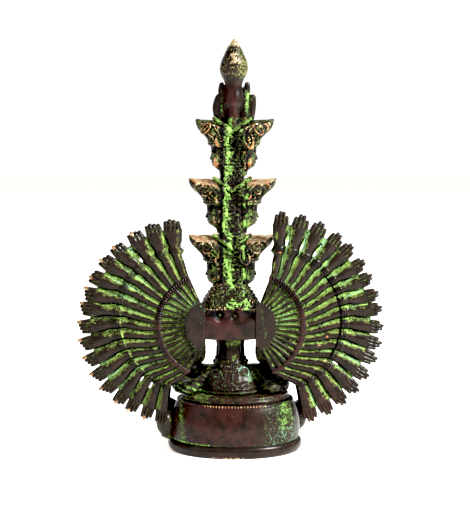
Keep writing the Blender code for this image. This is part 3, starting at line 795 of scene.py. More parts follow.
def addHead(share, height, turn, stretch):  # share is its place up the tower, height in mm
    at = faceShape
    around, leafGap = 132, 1.08
    z = np.concatenate([np.linspace(-0.16, 0.44, 62), np.linspace(0.45, 1.0, 44)])
    # middle, half depth and half width up the head
    table = np.array([
        (-0.16, 0.10, 0.20, 0.19), (-0.06, 0.16, 0.16, 0.14), (-0.02, 0.21, 0.16, 0.13),
        (0.03, 0.245, 0.205, 0.155), (0.10, 0.24, 0.245, 0.205), (0.20, 0.24, 0.255, 0.232),
        (0.30, 0.24, 0.262, 0.242), (0.44, 0.25, 0.265, 0.252), (0.47, 0.26, 0.285, 0.28),
        (0.52, 0.27, 0.305, 0.30), (0.62, 0.28, 0.34, 0.325), (0.70, 0.29, 0.395, 0.338),
        (0.80, 0.305, 0.485, 0.36), (0.87, 0.315, 0.54, 0.385), (0.94, 0.32, 0.562, 0.41),
        (1.0, 0.325, 0.545, 0.415),
    ])
    middle, deep, wide = (np.interp(z, table[:, 0], table[:, c]) for c in (1, 2, 3))
    angle = np.linspace(0, math.tau, around, endpoint=False)
    angle = np.where(angle > math.pi, angle - math.tau, angle)
    level, facing = np.meshgrid(z, angle, indexing="ij")
    middle, deep, wide = (np.repeat(v[:, None], around, 1) for v in (middle, deep, wide))
    side = np.abs(facing)
    out = np.zeros_like(level)
    # face: even thirds from chin to hairline, lids lowered
    face = ramp(level, 0.0, 0.04) * fall(level, 0.42, 0.46)
    out += face * 0.052 * hill(facing, 0, 0.2) * ramp(0.33 - level, 0.0, 0.15) * ramp(level, 0.160, 0.185)
    out += face * 0.030 * hill(level, at["noseTip"], 0.014) * hill(side, 0.2, 0.1)
    out += (
        0.024 * hill(level, at["upperLip"], 0.010) * hill(facing, 0, 0.26)
        + 0.026 * hill(level, at["lowerLip"], 0.010) * hill(facing, 0, 0.22)
    )
    out += 0.020 * hill(level, at["chin"], 0.022) * hill(facing, 0, 0.25)
    out += 0.022 * hill(level, at["eyes"], 0.022) * hill(side, at["eyeTurn"], 0.2)
    out -= (
        0.022 * hill(level, at["lidEdge"] + 0.03 * (side - at["eyeTurn"]) ** 2, 0.006)
        * hill(side, at["eyeTurn"], 0.22, 4)
    )
    out += (
        0.018 * hill(level, at["brows"] - 0.10 * (side - 0.5) ** 2, 0.009) * ramp(side, 0.10, 0.2)
        * fall(side, 0.85, 0.95)
    )
    out -= 0.018 * hill(level, 0.27, 0.03) * hill(side, 0.16, 0.1)
    out += 0.012 * hill(level, at["browMark"], 0.010) * hill(facing, 0, 0.06)
    # long ears
    ear = hill(side, at["earTurn"], 0.13, 4) * ramp(level, 0.06, 0.09) * fall(level, 0.34, 0.37)
    out += 0.055 * ear - 0.03 * hill(side, at["earTurn"], 0.06) * hill(level, 0.25, 0.05)
    # crown: beaded band, then leaves with raised rims and ribs
    crown = ramp(level, 0.46, 0.49)
    out += (
        0.022 * crown * hill(level, at["crownBand"], 0.018)
        + 0.018 * crown * hill(level, at["crownBand"], 0.018) * np.cos(facing * 26)
    )
    out += 0.014 * crown * hill(level, 0.555, 0.010)
    leafAt = np.round(np.clip(facing / leafGap, -2, 2)) * leafGap
    offset = (facing - leafAt) / (leafGap / 2)
    outline = clamp(1.06 - ((level - 0.58) / 0.46) ** 2 * 0.62)
    inside = outline - np.abs(offset)
    out += (
        crown * ramp(level, 0.56, 0.60) * (0.030 * hill(inside, 0.05, 0.09)
        - 0.020 * ramp(inside, 0.12, 0.3))
    )
    out += (
        crown * ramp(level, 0.58, 0.64) * ramp(inside, 0.15, 0.3) * 0.016
        * np.cos(38 * level + 3.5 * np.abs(offset) * 3)
    )
    out += crown * ramp(level, 0.58, 0.64) * 0.020 * hill(offset, 0, 0.1)
    back = clamp(math.sin(turn) * np.sign(facing))
    rimDrop = 0.10 * ramp(np.abs(offset), 0.3, 1.0) * (1 - 0.7 * back) + 0.30 * ramp(side, 1.45, 2.5)
    rimDrop += 0.10 * back * ramp(side, 0.3, 1.1)
    rimDrop = rimDrop - 0.03 * hill(facing, 0, 0.4)
    lowered = np.where(level > 0.45, 0.45 + (level - 0.45) * (1 - rimDrop / 0.55), level)
    forward = (middle + (deep + out) * np.cos(facing)) * stretch
    across = (wide + out) * np.sin(facing)
    rows = [np.stack([forward, across, lowered], -1)]
    rimF, rimA, rimZ = forward[-1], across[-1], lowered[-1]
    for inward, drop in ((0.965, -0.008), (0.90, 0.002), (0.84, 0.008), (0.6, 0.0), (0.3, 0.0)):
        flat = (1 - inward) * 0.6
        rows.append(
            np.stack([0.25 + (rimF - 0.25) * inward, rimA * inward,
            (rimZ * (1 - flat) + 0.97 * flat) - drop], -1)[None]
        )
    local = np.concatenate(rows)
    ahead = np.array([math.sin(turn), -math.cos(turn), 0.0])
    right = np.array([math.cos(turn), math.sin(turn), 0.0])
    base = towerAxis(share)
    points = (
        base + height * (local[..., :1] * ahead + local[..., 1:2] * right
        + local[..., 2:] * np.array([0, 0, 1.0]))
    )
    return spinLoft("head", points)


def addRosette(centre, out, radius, tall=1.0, petals=8):  # a round ear ornament: rim, petals and boss
    out = np.asarray(out, float)
    turn = Vector(out).to_track_quat("Z", "Y").to_euler()
    centre = np.asarray(centre, float)
    parts = [addHoop(centre, radius, 0.48, turn)]
    up = np.array([0, 0, 1.0])
    along = np.cross(up, out)
    spots = [centre + out * 0.15]
    sizes = [radius / 2.8]
    for k in range(petals):
        angle = math.tau * k / petals
        spots.append(centre + (along * math.cos(angle) + up * math.sin(angle)) * radius * 0.58)
        sizes.append(0.62 * radius / 2.8)
    parts.append(scatterBalls("petals", spots, sizes))
    whole = joined(parts)
    if tall != 1.0:
        for vert in whole.data.vertices:
            vert.co.z = centre[2] * mm + (vert.co.z - centre[2] * mm) * tall
    return whole


def crownBack(share, height, x, z):  # a place on the back of a side head's crown, and the way it faces
    axis = towerAxis(share)
    up = (z - axis[2]) / height
    middle, deep, wide = (np.interp(up, (0.47, 0.62, 0.75, 0.90, 1.0), v) for v in (
        (0.26, 0.28, 0.297, 0.32, 0.325), (0.285, 0.34, 0.44, 0.55, 0.545),
        (0.28, 0.325, 0.35, 0.395, 0.415)))
    ahead = float(np.clip((abs(x) / height - middle) / deep, -0.95, 0.95))
    away = math.sqrt(1 - ahead**2)
    place = (axis[0] + x, axis[1] + height * wide * away + 0.1, z)
    return place, -math.atan2(math.copysign(ahead, x * ahead) * wide, away * deep)


def makeTower():
    shape = towerShape
    parts = []
    # column: two rolled edges with leafwork between, flared at its foot like a cape
    around, levels = 96, 300
    share = np.linspace(-0.015, 0.675, levels)
    wide = np.interp(
        share, (-0.015, 0.0, 0.02, 0.06, 0.10, 0.20, 0.30, 0.42, 0.52, 0.66, 0.70),
        (16.2, 15.5, 13.0, 9.4, 7.2, 6.4, 6.8, 6.2, 6.5, 6.0, 5.8)
    )
    deep = np.interp(share, (-0.015, 0.06, 0.20, 0.40, 0.70), (6.6, 6.2, 5.6, 5.4, 4.8))
    back = np.interp(share, (-0.015, 0.06, 0.2, 0.7), (0.6, 1.2, 2.0, 1.0))
    turn = np.linspace(0, math.tau, around, endpoint=False)
    rows = []
    for sh, wd, dp, bk in zip(share, wide, deep, back):
        c, s = np.cos(turn), np.sin(turn)
        x = np.sign(c) * np.abs(c) ** 0.75 * wd
        y = np.sign(s) * np.abs(s) ** 0.75 * dp + bk
        y = y - 0.9 * hill(x, 0, 0.52 * wd, 4) * (s > 0.2)
        axis = towerAxis(sh)
        rows.append(np.stack([axis[0] + x, axis[1] + y, np.full(around, axis[2])], -1))
    rows = np.array(rows)
    leafwork = 0.45 * wobble(rows, 1.5, 3) + 0.25 * wobble(rows, 0.7, 4)
    outward = rows - rows.mean(1, keepdims=True)
    outward /= np.linalg.norm(outward, axis=-1, keepdims=True)
    parts.append(spinLoft("column", rows + outward * leafwork[..., None]))
    # heads
    for tier, (sh, tall) in enumerate(shape["tiers"]):
        height = tall * shape["height"]
        for turnDegrees in (-90, 0, 90):
            parts.append(
                addHead(sh, height, math.radians(turnDegrees), shape["stretch"][tier][turnDegrees])
            )
        for side in (-1, 1):  # ear ornaments and strands in front
            spot = towerAxis(sh) + np.array([side * 7.4, -7.6, 0.50 * height])
            parts.append(addRosette(spot, (side * 0.25, -0.97, 0.0), 2.6))
            strand = [spot + np.array([side * 0.5, 0.6, -2.0 - 1.15 * n]) for n in range(9)]
            parts.append(scatterBalls("strand", strand, np.linspace(0.85, 0.6, 9)))
        top = towerAxis(sh)[2] + shape["crownTop"] * height
        for x, drop, lean, wide, high in shape["leaves"][tier]:
            parts.append(addLeaf(*crownBack(sh, height, x, top - drop), math.radians(lean), wide, high))
        for x, drop, beads in ((4.0, 13.5, 11), (-7.8, 12.5, 13)):  # strands beside the column
            strand = [
                (x - 0.35 * math.sin(n * 0.5), 9.9 - 0.05 * n, top - drop - 0.95 * n) for n in range(beads)
            ]
            parts.append(scatterBalls("strand", strand, [(0.75, 0.8, 0.62)] * beads))
        for side in (-1, 1):  # folds that meet in a point over the column
            fold = [
                (side * 9.5 - 1.0, 8.5, top + 2.0), (side * 4.5 - 1.0, 10.2, top - 1.5),
                (-1.0, 10.6, top - 5.0)
            ]
            parts.append(addBar(fold, [1.2, 1.4, 1.0]))
    sh, tall = shape["tiers"][2]
    parts.append(addPanel(*crownBack(sh, tall * shape["height"], 10.0, 170.8), math.radians(-38), 4.6, 6.0))
    # tenth head, with its crown, and the curled head on top of it
    h = shape["height"]
    profile = np.array([
        (0.675, 5.0), (0.69, 4.6), (0.70, 3.5), (0.715, 3.4), (0.725, 4.0), (0.742, 5.1), (0.762, 5.6),
        (0.785, 5.2), (0.805, 4.5),
        (0.824, 4.4), (0.838, 4.8), (0.850, 5.9), (0.864, 6.9), (0.885, 7.5), (0.905, 7.2), (0.93, 5.9),
        (0.955, 4.2), (0.975, 2.7), (0.99, 1.3), (0.998, 0.5),
    ])
    steps = np.linspace(0.675, 0.998, 90)
    radius = np.interp(steps, profile[:, 0], profile[:, 1])
    radius[2:-2] = np.convolve(radius, np.ones(5) / 5, "valid")
    turn = np.linspace(0, math.tau, 64, endpoint=False)
    rows = []
    for a, r in zip(steps, radius):
        axis = towerAxis(a)
        rows.append(
            np.stack([axis[0] + r * np.cos(turn), axis[1] + 0.96 * r * np.sin(turn), np.full(64, axis[2])],
            -1)
        )
    parts.append(spinLoft("topHeads", rows))
    stem = [(towerAxis(a)[0], y, towerAxis(a)[2]) for a, y in ((0.652, 7.2), (0.685, 6.6), (0.735, 5.2))]
    parts.append(addBar(stem, [2.9, 3.2, 3.4], 6))
    for path, radii in shape["lobes"]:
        parts.append(addBar([towerAxis(a) + (x, -0.6, 0.0) for x, a in path], radii, 5))
    for angle in (-40, 0, 40):
        out = np.array([math.sin(math.radians(angle)), -math.cos(math.radians(angle)), 0])
        path = [towerAxis(0.71) + out * 4.5, towerAxis(0.765) + out * 6.2, towerAxis(0.815) + out * 8.6]
        parts.append(addBar(path, [2.8, 2.4, 0.9]))
    tower = melt(joined(parts, "headTower"), shape["voxel"] * mm, shape["most"])
    points = reliefOf(tower, ())[0]
    x, y, z = (points / mm).T
    share = (z - shape["footZ"]) / h
    off = x - shape["lean"] * share
    belowNeck = share < 0.70
    bulb = ramp(share, 0.70, 0.72) * fall(share, 0.835, 0.845) * hill(off, 0, 5.4, 12) * ramp(y, 4.5, 6.0)
    bulb = np.maximum(
        bulb, ramp(y, 8.0, 8.8) * hill(off, 0, 3.6, 8) * ramp(share, 0.655, 0.665) * fall(share, 0.72, 0.74)
    )
    finial = ramp(share, 0.84, 0.86)
    behind = ramp(y, 5.5, 8.0) * belowNeck
    facial = fall(y, -1.0, 2.0) + ramp(np.abs(off), 9.0, 11.0) * (y < 9.0)
    onColumn = hill(off, 0, 6.2, 4) * ramp(y, 4.0, 6.5) * belowNeck
    roughen(
        tower, (0.08 + 0.06 * behind + 0.24 * onColumn) * (1 - bulb) * (1 - 0.65 * clamp(facial))
        * (1 + 0.6 * finial), 1.9, 41
    )
    points, normals, (fine, broad) = reliefOf(tower, (6, 34))
    fine, broad = evenOut(fine), evenOut(broad)
    lumps = wobble(points, 3.4 * mm, 8)
    fleck = wobble(points, 1.2 * mm, 9)
    hollow = 0.6 * ramp(-fine, 0.2, 1.3) + 0.5 * ramp(-broad, 0.2, 1.3)
    ridge = 0.75 * ramp(fine, 0.3, 1.1) + 0.35 * ramp(broad, 0.3, 1.2)
    drift = off + 1.8 * wobble(points, 7 * mm, 10)
    strips = np.where(
        share > 0.5, hill(drift, 1.9, 1.9) + 0.5 * hill(drift, -5.2, 1.0), hill(drift, 2.8, 1.6)
    )
    strips = np.where(share < 0.27, hill(drift, 0.9, 2.2), strips)
    sideStrip = (
        np.where(share < 0.27, hill(drift, -6.4, 1.5), hill(drift, -7.4, 1.5) * (share < 0.5))
        * ramp(y, 3.0, 5.5)
    )
    sideStrip *= ramp(lumps + 0.5 * fleck, -0.45, 0.15)
    veeLime = np.zeros_like(x)
    for sh, tall in shape["tiers"]:
        top = towerAxis(sh)[2] + shape["crownTop"] * tall * h
        veeLime = np.maximum(
            veeLime, hill(z - (top - 5.0 + 0.72 * np.abs(off)), 0.0, 2.0) * (np.abs(off) < 10.5)
            * ramp(y, 6.5, 8.5)
        )
    lobes = ramp(share, 0.705, 0.72) * (1 - bulb) * (1 - finial)
    lobeLime = lobes * hill(np.abs(off + 1.0), 6.3, 1.7) * fall(share, 0.79, 0.81) * (0.75 + 0.6 * lumps)
    lobeLime *= np.where(off > 0, 1 - 0.45 * ramp(share, 0.72, 0.74), 1.0)
    topFlat = ramp(normals[:, 2], 0.55, 0.8) * belowNeck * ramp(np.abs(off), 6.5, 8.5)
    crown = (1 - onColumn) * (share < 0.705)
    lower = hill(np.abs(off), 9.0, 3.0) * behind * ramp(normals[:, 2], 0.3, -0.2) * crown
    patina = (
        crown * (0.40 + 0.25 * lumps + 0.20 * hollow)
        + onColumn * (0.30 + 0.52 * strips + 0.38 * lumps + 0.20 * ridge)
    )
    patina = np.maximum(patina, veeLime * (0.62 + 0.5 * lumps) + 0.1 * fleck)
    patina = np.maximum(patina, 0.80 * lower * ramp(lumps, -0.2, 0.3))
    patina = np.maximum(patina, sideStrip * (0.80 + 0.5 * lumps))
    patina = np.where(share > 0.705, 0.12 + 0.68 * lobeLime + 0.25 * lobes * hollow - 0.6 * bulb, patina)
    patina = np.where(finial > 0.5, 0.26 + 0.26 * ramp(-off, 0.5, 4.0) + 0.3 * fleck, patina)
    wear = (
        -0.05 + (0.92 - 0.20 * (share < 0.5) + 0.30 * lumps) * ridge * crown * (1 - veeLime)
        * (1 - 0.6 * clamp(facial)) + 0.25 * lobes * ridge
    )
    wear += 1.05 * topFlat * (0.80 + 0.5 * fleck) * (share < 0.5) - 0.5 * sideStrip
    centreStrip = (
        hill(off, -0.3, 2.2) * ramp(y, 5.0, 8.0) * ramp(share, 0.885, 0.925) * fall(share, 0.945, 0.965)
    )
    wear += finial * (0.78 * ramp(share, 0.958, 0.982) + (0.42 + 0.7 * fleck) * centreStrip + 0.50 * ridge)
    paint(tower, "patina", patina)
    paint(tower, "wear", wear * (1 - bulb))
    paint(tower, "teal", 0.05 + 0.35 * wobble(points, 9 * mm, 9))
    olive = (
        crown * clamp(0.75 + 0.5 * lumps - 0.5 * hollow) * (1 - veeLime) * (1 - 0.8 * lower)
        * (1 - sideStrip)
    )
    paint(
        tower, "olive", clamp(olive * (1 - 0.3 * (share > 0.5)) + 0.35 * onColumn * (1 - strips)
        + 0.85 * finial)
    )
    paint(tower, "tone", clamp(0.10 + 0.70 * bulb * ramp(off, -3.5, -0.5)))
    # painted shade, near black, in fine and broad hollows and in the grooves beside the column, with dark
    # mottling between the column's green strips
    groove = hill(np.abs(off + 1.0), 6.6, 0.9) * ramp(y, 3.0, 6.0) * belowNeck * (1 - veeLime)
    dark = onColumn * (1 - clamp(strips + veeLime)) * ramp(fleck, -0.3, 0.2) * 0.4
    paintedShadeAndGrime = (
        clamp(1.1 * ramp(-fine, 0.12, 0.85) + 0.6 * ramp(-broad, 0.15, 1.0) + 0.8 * groove + dark)
        * (1 - bulb) * (1 - 0.6 * clamp(strips * onColumn + sideStrip))
    )
    paint(tower, "paintedShadeAndGrime", paintedShadeAndGrime * (1 - 0.5 * finial))
    return tower


headTower = makeTower()
dress(headTower, "seated_figure", brass)

# seated figure, from the seat to the shoulders
figureShape = {
    "height": 48.3, "seatZ": 31.7, "middleY": 3.55,
    "plateHalf": 14.1, "plateBack": 16.72, "plateLow": 61.2, "plateHigh": 77.6,
    "pits": ((5.6, 74.2), (-2.4, 73.8)),
    "voxel": 0.25, "most": 195000,
}
bodyLevels = np.array([  # height, middle, half width and half depth, as shares of the figure's height
    (0.0, 0.03, 0.325, 0.27), (0.06, 0.03, 0.322, 0.275), (0.14, 0.03, 0.292, 0.262),
    (0.21, 0.025, 0.252, 0.235),
    (0.29, 0.015, 0.198, 0.195), (0.37, 0.005, 0.164, 0.152), (0.52, 0.0, 0.152, 0.14),
    (0.575, 0.0, 0.165, 0.145),
    (0.60, 0.0, 0.24, 0.16), (0.66, 0.0, 0.325, 0.172), (0.80, 0.0, 0.345, 0.182),
    (0.93, 0.0, 0.345, 0.172),
    (1.0, 0.0, 0.31, 0.155), (1.05, 0.0, 0.25, 0.13),
])


def bodyPlace(x, y, z):  # shares of the figure's height, from the middle of the seat
    h = figureShape["height"]
    return np.array([x * h, figureShape["middleY"] + y * h, figureShape["seatZ"] + z * h])


def bodyAt(z):  # middle, half width and half depth at a height, in mm
    h = figureShape["height"]
    share = (np.asarray(z) - figureShape["seatZ"]) / h
    return [np.interp(share, bodyLevels[:, 0], bodyLevels[:, c]) * h for c in (1, 2, 3)]


def onBack(x, z, lift=0.0, front=1):
    middle, wide, deep = bodyAt(z)
    y = figureShape["middleY"] + middle + front * (deep * np.sqrt(clamp(1 - (x / wide) ** 2)) + lift)
    return np.array([x, y, z])


def addBody():
    around, levels = 150, 200
    z = np.linspace(31.9, 82.0, levels)
    middle, wide, deep = bodyAt(z)
    turn = np.linspace(0, math.tau, around, endpoint=False)
    c, s = np.cos(turn), np.sin(turn)
    square = 1.0 - 0.4 * ramp(z, 60.0, 63.0)
    rows = []
    for n in range(levels):
        x = np.sign(c) * np.abs(c) ** square[n] * wide[n]
        y = np.sign(s) * np.abs(s) ** square[n] * deep[n]
        folds = 0.22 * np.sin(turn * 13 + 2.0 * np.sin(z[n] / 5)) * ramp(44.0 - z[n], 0, 5)
        folds += 0.30 * np.sin(turn * 9 + 1.0) * hill(z[n], 55.0, 5.0)
        rows.append(
            np.stack([x + folds * c, figureShape["middleY"] + middle[n] + y + folds * s,
            np.full(around, z[n])], -1)
        )
    return spinLoft("body", rows)


def addPlate():  # the smooth plate between the two fans, hollowed under the cape for two pins
    shape = figureShape
    half = shape["plateHalf"]
    x = half * np.linspace(1, -1, 170)
    corner = clamp((np.abs(x) - half + 1.6) / 1.6)
    rows = []
    for t in np.linspace(0, 1, 100):
        z = shape["plateLow"] - 0.7 * (1 - (x / 13.0) ** 2) + t * (shape["plateHigh"] - shape["plateLow"])
        rounding = 1.3 * (1 - math.sqrt(max(0.0, 1 - max(0.0, 1 - t * 13) ** 2)))
        back = shape["plateBack"] - rounding - 0.0024 * x**2 - 0.8 * (1 - np.sqrt(1 - corner**2))
        edge = (
            69.6 + 2.2 * ramp(np.abs(x + 1.0), 5.0, 11.0) + 1.0 * hill(x, 1.6, 2.2)
            - 0.5 * hill(x, 5.6, 2.5)
        )
        hollow = 1.5 * ramp(z, edge - 0.4, edge + 2.4) * fall(z, 76.4, 77.2)
        for px, pz in shape["pits"]:
            hollow = hollow + 1.5 * blob(x, z, (px, pz), (1.9, 1.9), 2)
        behind = np.stack([x, back - hollow, z], -1)
        before = np.stack([x, np.full_like(x, 9.0), z], -1)[::-2]
        rows.append(np.concatenate([behind, before]))
    return spinLoft("plate", rows)


def addCape():  # its hanging edge, over the plate
    turn = np.linspace(0, math.tau, 200, endpoint=False)
    c, s = np.cos(turn), np.sin(turn)
    rows = []
    for t in np.linspace(0, 1, 50):
        z = 77.0 + 13.0 * t
        wide = np.interp(t, (0, 0.12, 0.35, 0.6, 0.85, 1), (14.6, 15.4, 14.4, 12.4, 10.2, 8.6))
        back = np.interp(t, (0, 0.08, 0.3, 0.6, 1), (15.2, 16.1, 15.2, 13.2, 10.6))
        x = np.sign(c) * np.abs(c) ** 0.55 * wide
        y = np.where(
            s > 0, 4.0 + (back - 4.0) * np.abs(s) ** 0.55, 4.0 + 6.0 * np.sign(s) * np.abs(s) ** 0.7
        )
        ragged = 0.9 * wobble(np.stack([x, y, np.zeros_like(x)], -1), 1.6, 12) * max(0.0, 1 - 5 * t)
        rows.append(np.stack([x, y, z + ragged], -1))
    rows = np.array(rows)
    lumps = 0.55 * wobble(rows, 1.9, 14) + 0.3 * wobble(rows, 0.9, 15)
    outward = rows - rows.mean(1, keepdims=True)
    outward[..., 2] = 0
    outward /= np.linalg.norm(outward, axis=-1, keepdims=True)
    strand = (
        0.35 * np.cos(3.1 * (rows[..., 0] - 0.42 * np.sign(rows[..., 0]) * (rows[..., 2] - 77)))
        * ramp(np.abs(rows[..., 0]), 6, 9)
    )
    return spinLoft("cape", rows + outward * (lumps + strand)[..., None])


def addHand(palm, tip, out, spread, thick, thumb):  # palm and four fingers; out is the way across the palm
    palm, tip, out, spread = (np.asarray(v, float) for v in (palm, tip, out, spread))
    along = tip - palm
    parts = []
    for k in range(4):
        off = (k - 1.5) * spread
        reach = (0.92, 1.0, 0.97, 0.84)[k]
        path = [
            palm + off * 0.75, palm + along * 0.45 + off,
            palm + along * 0.75 * reach + off * 0.9 + out * 0.2, palm + along * reach + off * 0.7
        ]
        parts.append(addBar(path, [thick, thick * 0.95, thick * 0.8, thick * 0.55], 2))
    start = palm - spread * 1.6 * thumb
    path = [start, start + along * 0.3 - spread * 0.5 * thumb, start + along * 0.55 - spread * 0.2 * thumb]
    parts.append(addBar(path, [thick, thick * 0.85, thick * 0.6], 2))
    return parts


def addLimb(side, spots, radii, sides=4):  # in shares of the figure's height; side -1 mirrors it
    path = [bodyPlace(side * x, y, z) for x, y, z in spots]
    return addBar(path, [r * figureShape["height"] for r in radii], sides)


def addDots(points, size):
    return scatterBalls("dots", points, [size] * len(points))


def addBeadRow(z, size, grow, angles):  # beads round the body at one height
    middle, wide, deep = bodyAt(z)
    middle = figureShape["middleY"] + middle
    return addDots(
        [(wide * grow * math.cos(a), middle + deep * grow * math.sin(a), z) for a in angles], size
    )


def makeFigure():
    shape = figureShape
    h = shape["height"]
    parts = [addBody(), addPlate(), addCape()]
    for side in (-1, 1):
        lift = 0.11 if side > 0 else 0.06
        thigh = [(0.20, 0.02, 0.15), (0.36, -0.05, 0.155), (0.55, -0.19, 0.13)]
        parts.append(addLimb(side, thigh, (0.145, 0.15, 0.115), 6))
        shin = [(0.545, -0.20, 0.125), (0.40, -0.37, lift + 0.03), (0.10, -0.455, lift + 0.01),
                (-0.12, -0.46, lift + 0.02)]
        parts.append(addLimb(side, shin, (0.11, 0.095, 0.075, 0.055), 6))
        foot = [(-0.08, -0.46, lift + 0.03), (-0.22, -0.465, lift + 0.06), (-0.335, -0.42, lift + 0.075)]
        parts.append(addLimb(side, foot, (0.05, 0.052, 0.036), 4))
        toes = [
            bodyPlace(side * (-0.355 - 0.004 * k), -0.435 + 0.022 * k, lift + 0.095 - 0.008 * k)
            for k in range(5)
        ]
        parts.append(scatterBalls("toes", toes, [0.85, 0.7, 0.66, 0.6, 0.55], 10, 7))
        # praying arm
        arm = [(0.29, -0.03, 0.89), (0.375, -0.15, 0.74), (0.36, -0.275, 0.64),
               (0.19, -0.345, 0.70), (0.06, -0.37, 0.76)]
        parts.append(addLimb(side, arm, (0.085, 0.075, 0.066, 0.052, 0.036), 6))
        palm = bodyPlace(side * 0.036, -0.37, 0.77)
        parts += addHand(palm, bodyPlace(side * 0.016, -0.395, 1.0), (0, -1, 0), (0, 1.25, 0), 0.95, 1)
        parts.append(addLimb(side, [(0.045, -0.37, 0.74), (0.033, -0.378, 0.84)], (0.042, 0.036), 4))
        # arm whose hand rests on the knee
        arm = [(0.325, -0.02, 0.83), (0.345, 0.04, 0.62), (0.325, 0.06, 0.36),
               (0.41, -0.18, 0.31), (0.465, -0.35, 0.29)]
        parts.append(addLimb(side, arm, (0.072, 0.062, 0.060, 0.046, 0.036), 6))
        parts += addHand(
            bodyPlace(side * 0.465, -0.36, 0.285), bodyPlace(side * 0.48, -0.44, 0.10), (0, -1, 0),
            (1.35, 0, 0), 0.95, side
        )
        for place, radius in (
            (bodyPlace(side * 0.375, -0.005, 0.60), 3.2), (bodyPlace(side * 0.45, -0.31, 0.335), 2.3)
        ):
            for step in (-0.9, 0.0, 0.9):
                lean = (0.55 if radius < 3 else 0.1, 0, 0)
                parts.append(addHoop(place + (0, 0, step), radius, 0.42, lean))
        parts.append(addHoop(bodyPlace(side * 0.17, -0.35, 0.71), 2.8, 0.5, (0, math.radians(90), 0.2)))
        # scarf ends over the thighs
        scarf = [(0.30, -0.13, 0.90), (0.14, -0.19, 0.62), (0.10, -0.21, 0.38), (0.16, -0.31, 0.20)]
        parts.append(addLimb(side, scarf, (0.018, 0.022, 0.026, 0.018), 3))
        for place, size in (
            ((side * 21.5, 8.5, 34.4), (7.0, 8.0, 4.4)), ((side * 26.0, 4.0, 34.8), (6.0, 8.5, 4.8))
        ):
            parts.append(addBall(place, size))
        for k in range(4):  # cloth drawn over the thigh
            fold = [(side * (13.5 + 1.2 * k) - 1.5, 11.5 + 0.6 * k, 42.5 - 1.9 * k),
                (side * (19 + 1.4 * k), 15.0 + 0.3 * k, 38.6 - 1.5 * k),
                    (side * (27 + 0.8 * k), 11.4, 35.8 - 1.0 * k)]
            parts.append(addBar(fold, [0.7, 0.85, 0.7], 2))
    # chest: two strings of beads, a pendant and a girdle
    for drop, half, size in ((8.0, 9.0, 0.62), (13.5, 10.5, 0.75)):
        beads = [onBack(t * half, 77.5 - drop * (1 - t * t), 0.5, -1) for t in np.linspace(-1, 1, 33)]
        parts.append(addDots(beads, size))
    parts.append(addRosette(onBack(0.0, 66.0, 0.8, -1), (0, -1, 0), 2.6))
    for z, size in ((49.5, 0.7), (47.6, 0.95)):
        parts.append(addBeadRow(z, size, 1.02, np.linspace(math.pi, math.tau, 26)))
    parts.append(addRosette(onBack(0.0, 47.0, 0.8, -1), (0, -1, 0), 3.0))
    # behind: belt of upright beads, two rosettes, chains and the hem
    for x in np.arange(5.2, -9.6, -1.08):
        for z, tall in ((45.9, 3), (43.9, 1)):
            parts.append(addDots([onBack(x, z + 0.45 * n, 0.15) for n in range(tall)], 0.40))
    parts.append(addRosette(onBack(-7.0, 42.6, 0.25), (-0.45, 0.89, 0.1), 3.0, 1.05, 14))
    parts.append(addRosette(onBack(7.7, 40.7, 0.0), (0.5, 0.86, 0.1), 3.6, 1.05, 14))
    for x in (2.9, -0.8):
        parts.append(addDots([onBack(x, z, 0.1) for z in np.arange(42.4, 33.5, -1.15)], 0.46))
    swags = (((3.4, 42.0), (1.5, 38.5), (-2.0, 36.4), (-6.0, 36.0), (-9.6, 37.4)),
        ((-0.8, 38.0), (-3.0, 34.9), (-7.0, 33.9), (-11.0, 34.9)),
             ((10.8, 43.5), (12.0, 39.5), (9.5, 36.0), (4.5, 35.0)),
             ((5.2, 42.0), (3.6, 39.2), (4.6, 36.6)))
    for swag in swags:
        swag = np.array(swag)
        t = np.linspace(0, len(swag) - 1, 22)
        line = np.stack([np.interp(t, range(len(swag)), swag[:, c]) for c in (0, 1)], -1)
        parts.append(addDots([onBack(x, z, 0.05) for x, z in line], 0.36))
    for z, size, grow in ((32.6, 0.75, 1.03), (34.3, 0.3, 1.005)):
        parts.append(addBeadRow(z, size, grow, np.linspace(0, math.pi, 110)))
    for px, pz in shape["pits"]:  # pin ends
        parts.append(addHoop((px, shape["plateBack"] - 2.4, pz), 0.62, 0.36, (math.radians(90), 0, 0)))
        parts.append(addBar([(px, y, pz) for y in (9.0, 11.0, shape["plateBack"] - 2.8)], [0.6] * 3))
    ragged = [
        (x, 16.0 + 0.25 * math.sin(3 * x), 78.3 + 0.5 * math.sin(1.3 * x) - 0.015 * x * x)
        for x in np.arange(-12.6, 12.4, 0.55)
    ]
    parts.append(scatterBalls("rim", ragged, 0.62 + 0.22 * np.sin(np.arange(len(ragged)) * 2.3)))
    figure = melt(joined(parts, "seatedFigure"), shape["voxel"] * mm, shape["most"])
    x, y, z = (reliefOf(figure, ())[0] / mm).T
    plate = ramp(y, 11.5, 13.5) * ramp(z, 60.3, 61.0) * fall(z, 76.6, 77.2) * (np.abs(x) < 14.5)
    cloth = fall(z, 44.0, 46.0) * ramp(y, -2.0, 4.0) * ramp(np.abs(x + 1.5), 13.5, 15.5)
    roughen(
        figure, (0.07 + 0.28 * cloth + 0.28 * ramp(z, 77.0, 78.5) * ramp(y, 0, 4)) * (1 - plate), 1.6, 51
    )
    points, normals, (fine, broad) = reliefOf(figure, (5, 30))
    x, y, z = (points / mm).T
    fine, broad = evenOut(fine), evenOut(broad)
    lumps = wobble(points, 3.0 * mm, 21)
    fleck = wobble(points, 1.1 * mm, 22)
    behind = ramp(normals[:, 1], -0.1, 0.3)
    hollow = 0.6 * ramp(-fine, 0.2, 1.3) + 0.5 * ramp(-broad, 0.2, 1.3)
    ridge = 0.6 * ramp(fine, 0.3, 1.4) + 0.5 * ramp(broad, 0.3, 1.4)
    # the pin pits and the wide blobs beside them are painted shade: darkened, with less patina
    inPit = plate * ramp(shape["plateBack"] - y, 2.4, 3.4)
    inPit = np.maximum(inPit, plate * blob(x, z, (7.0, 74.6), (4.6, 2.5), 2))
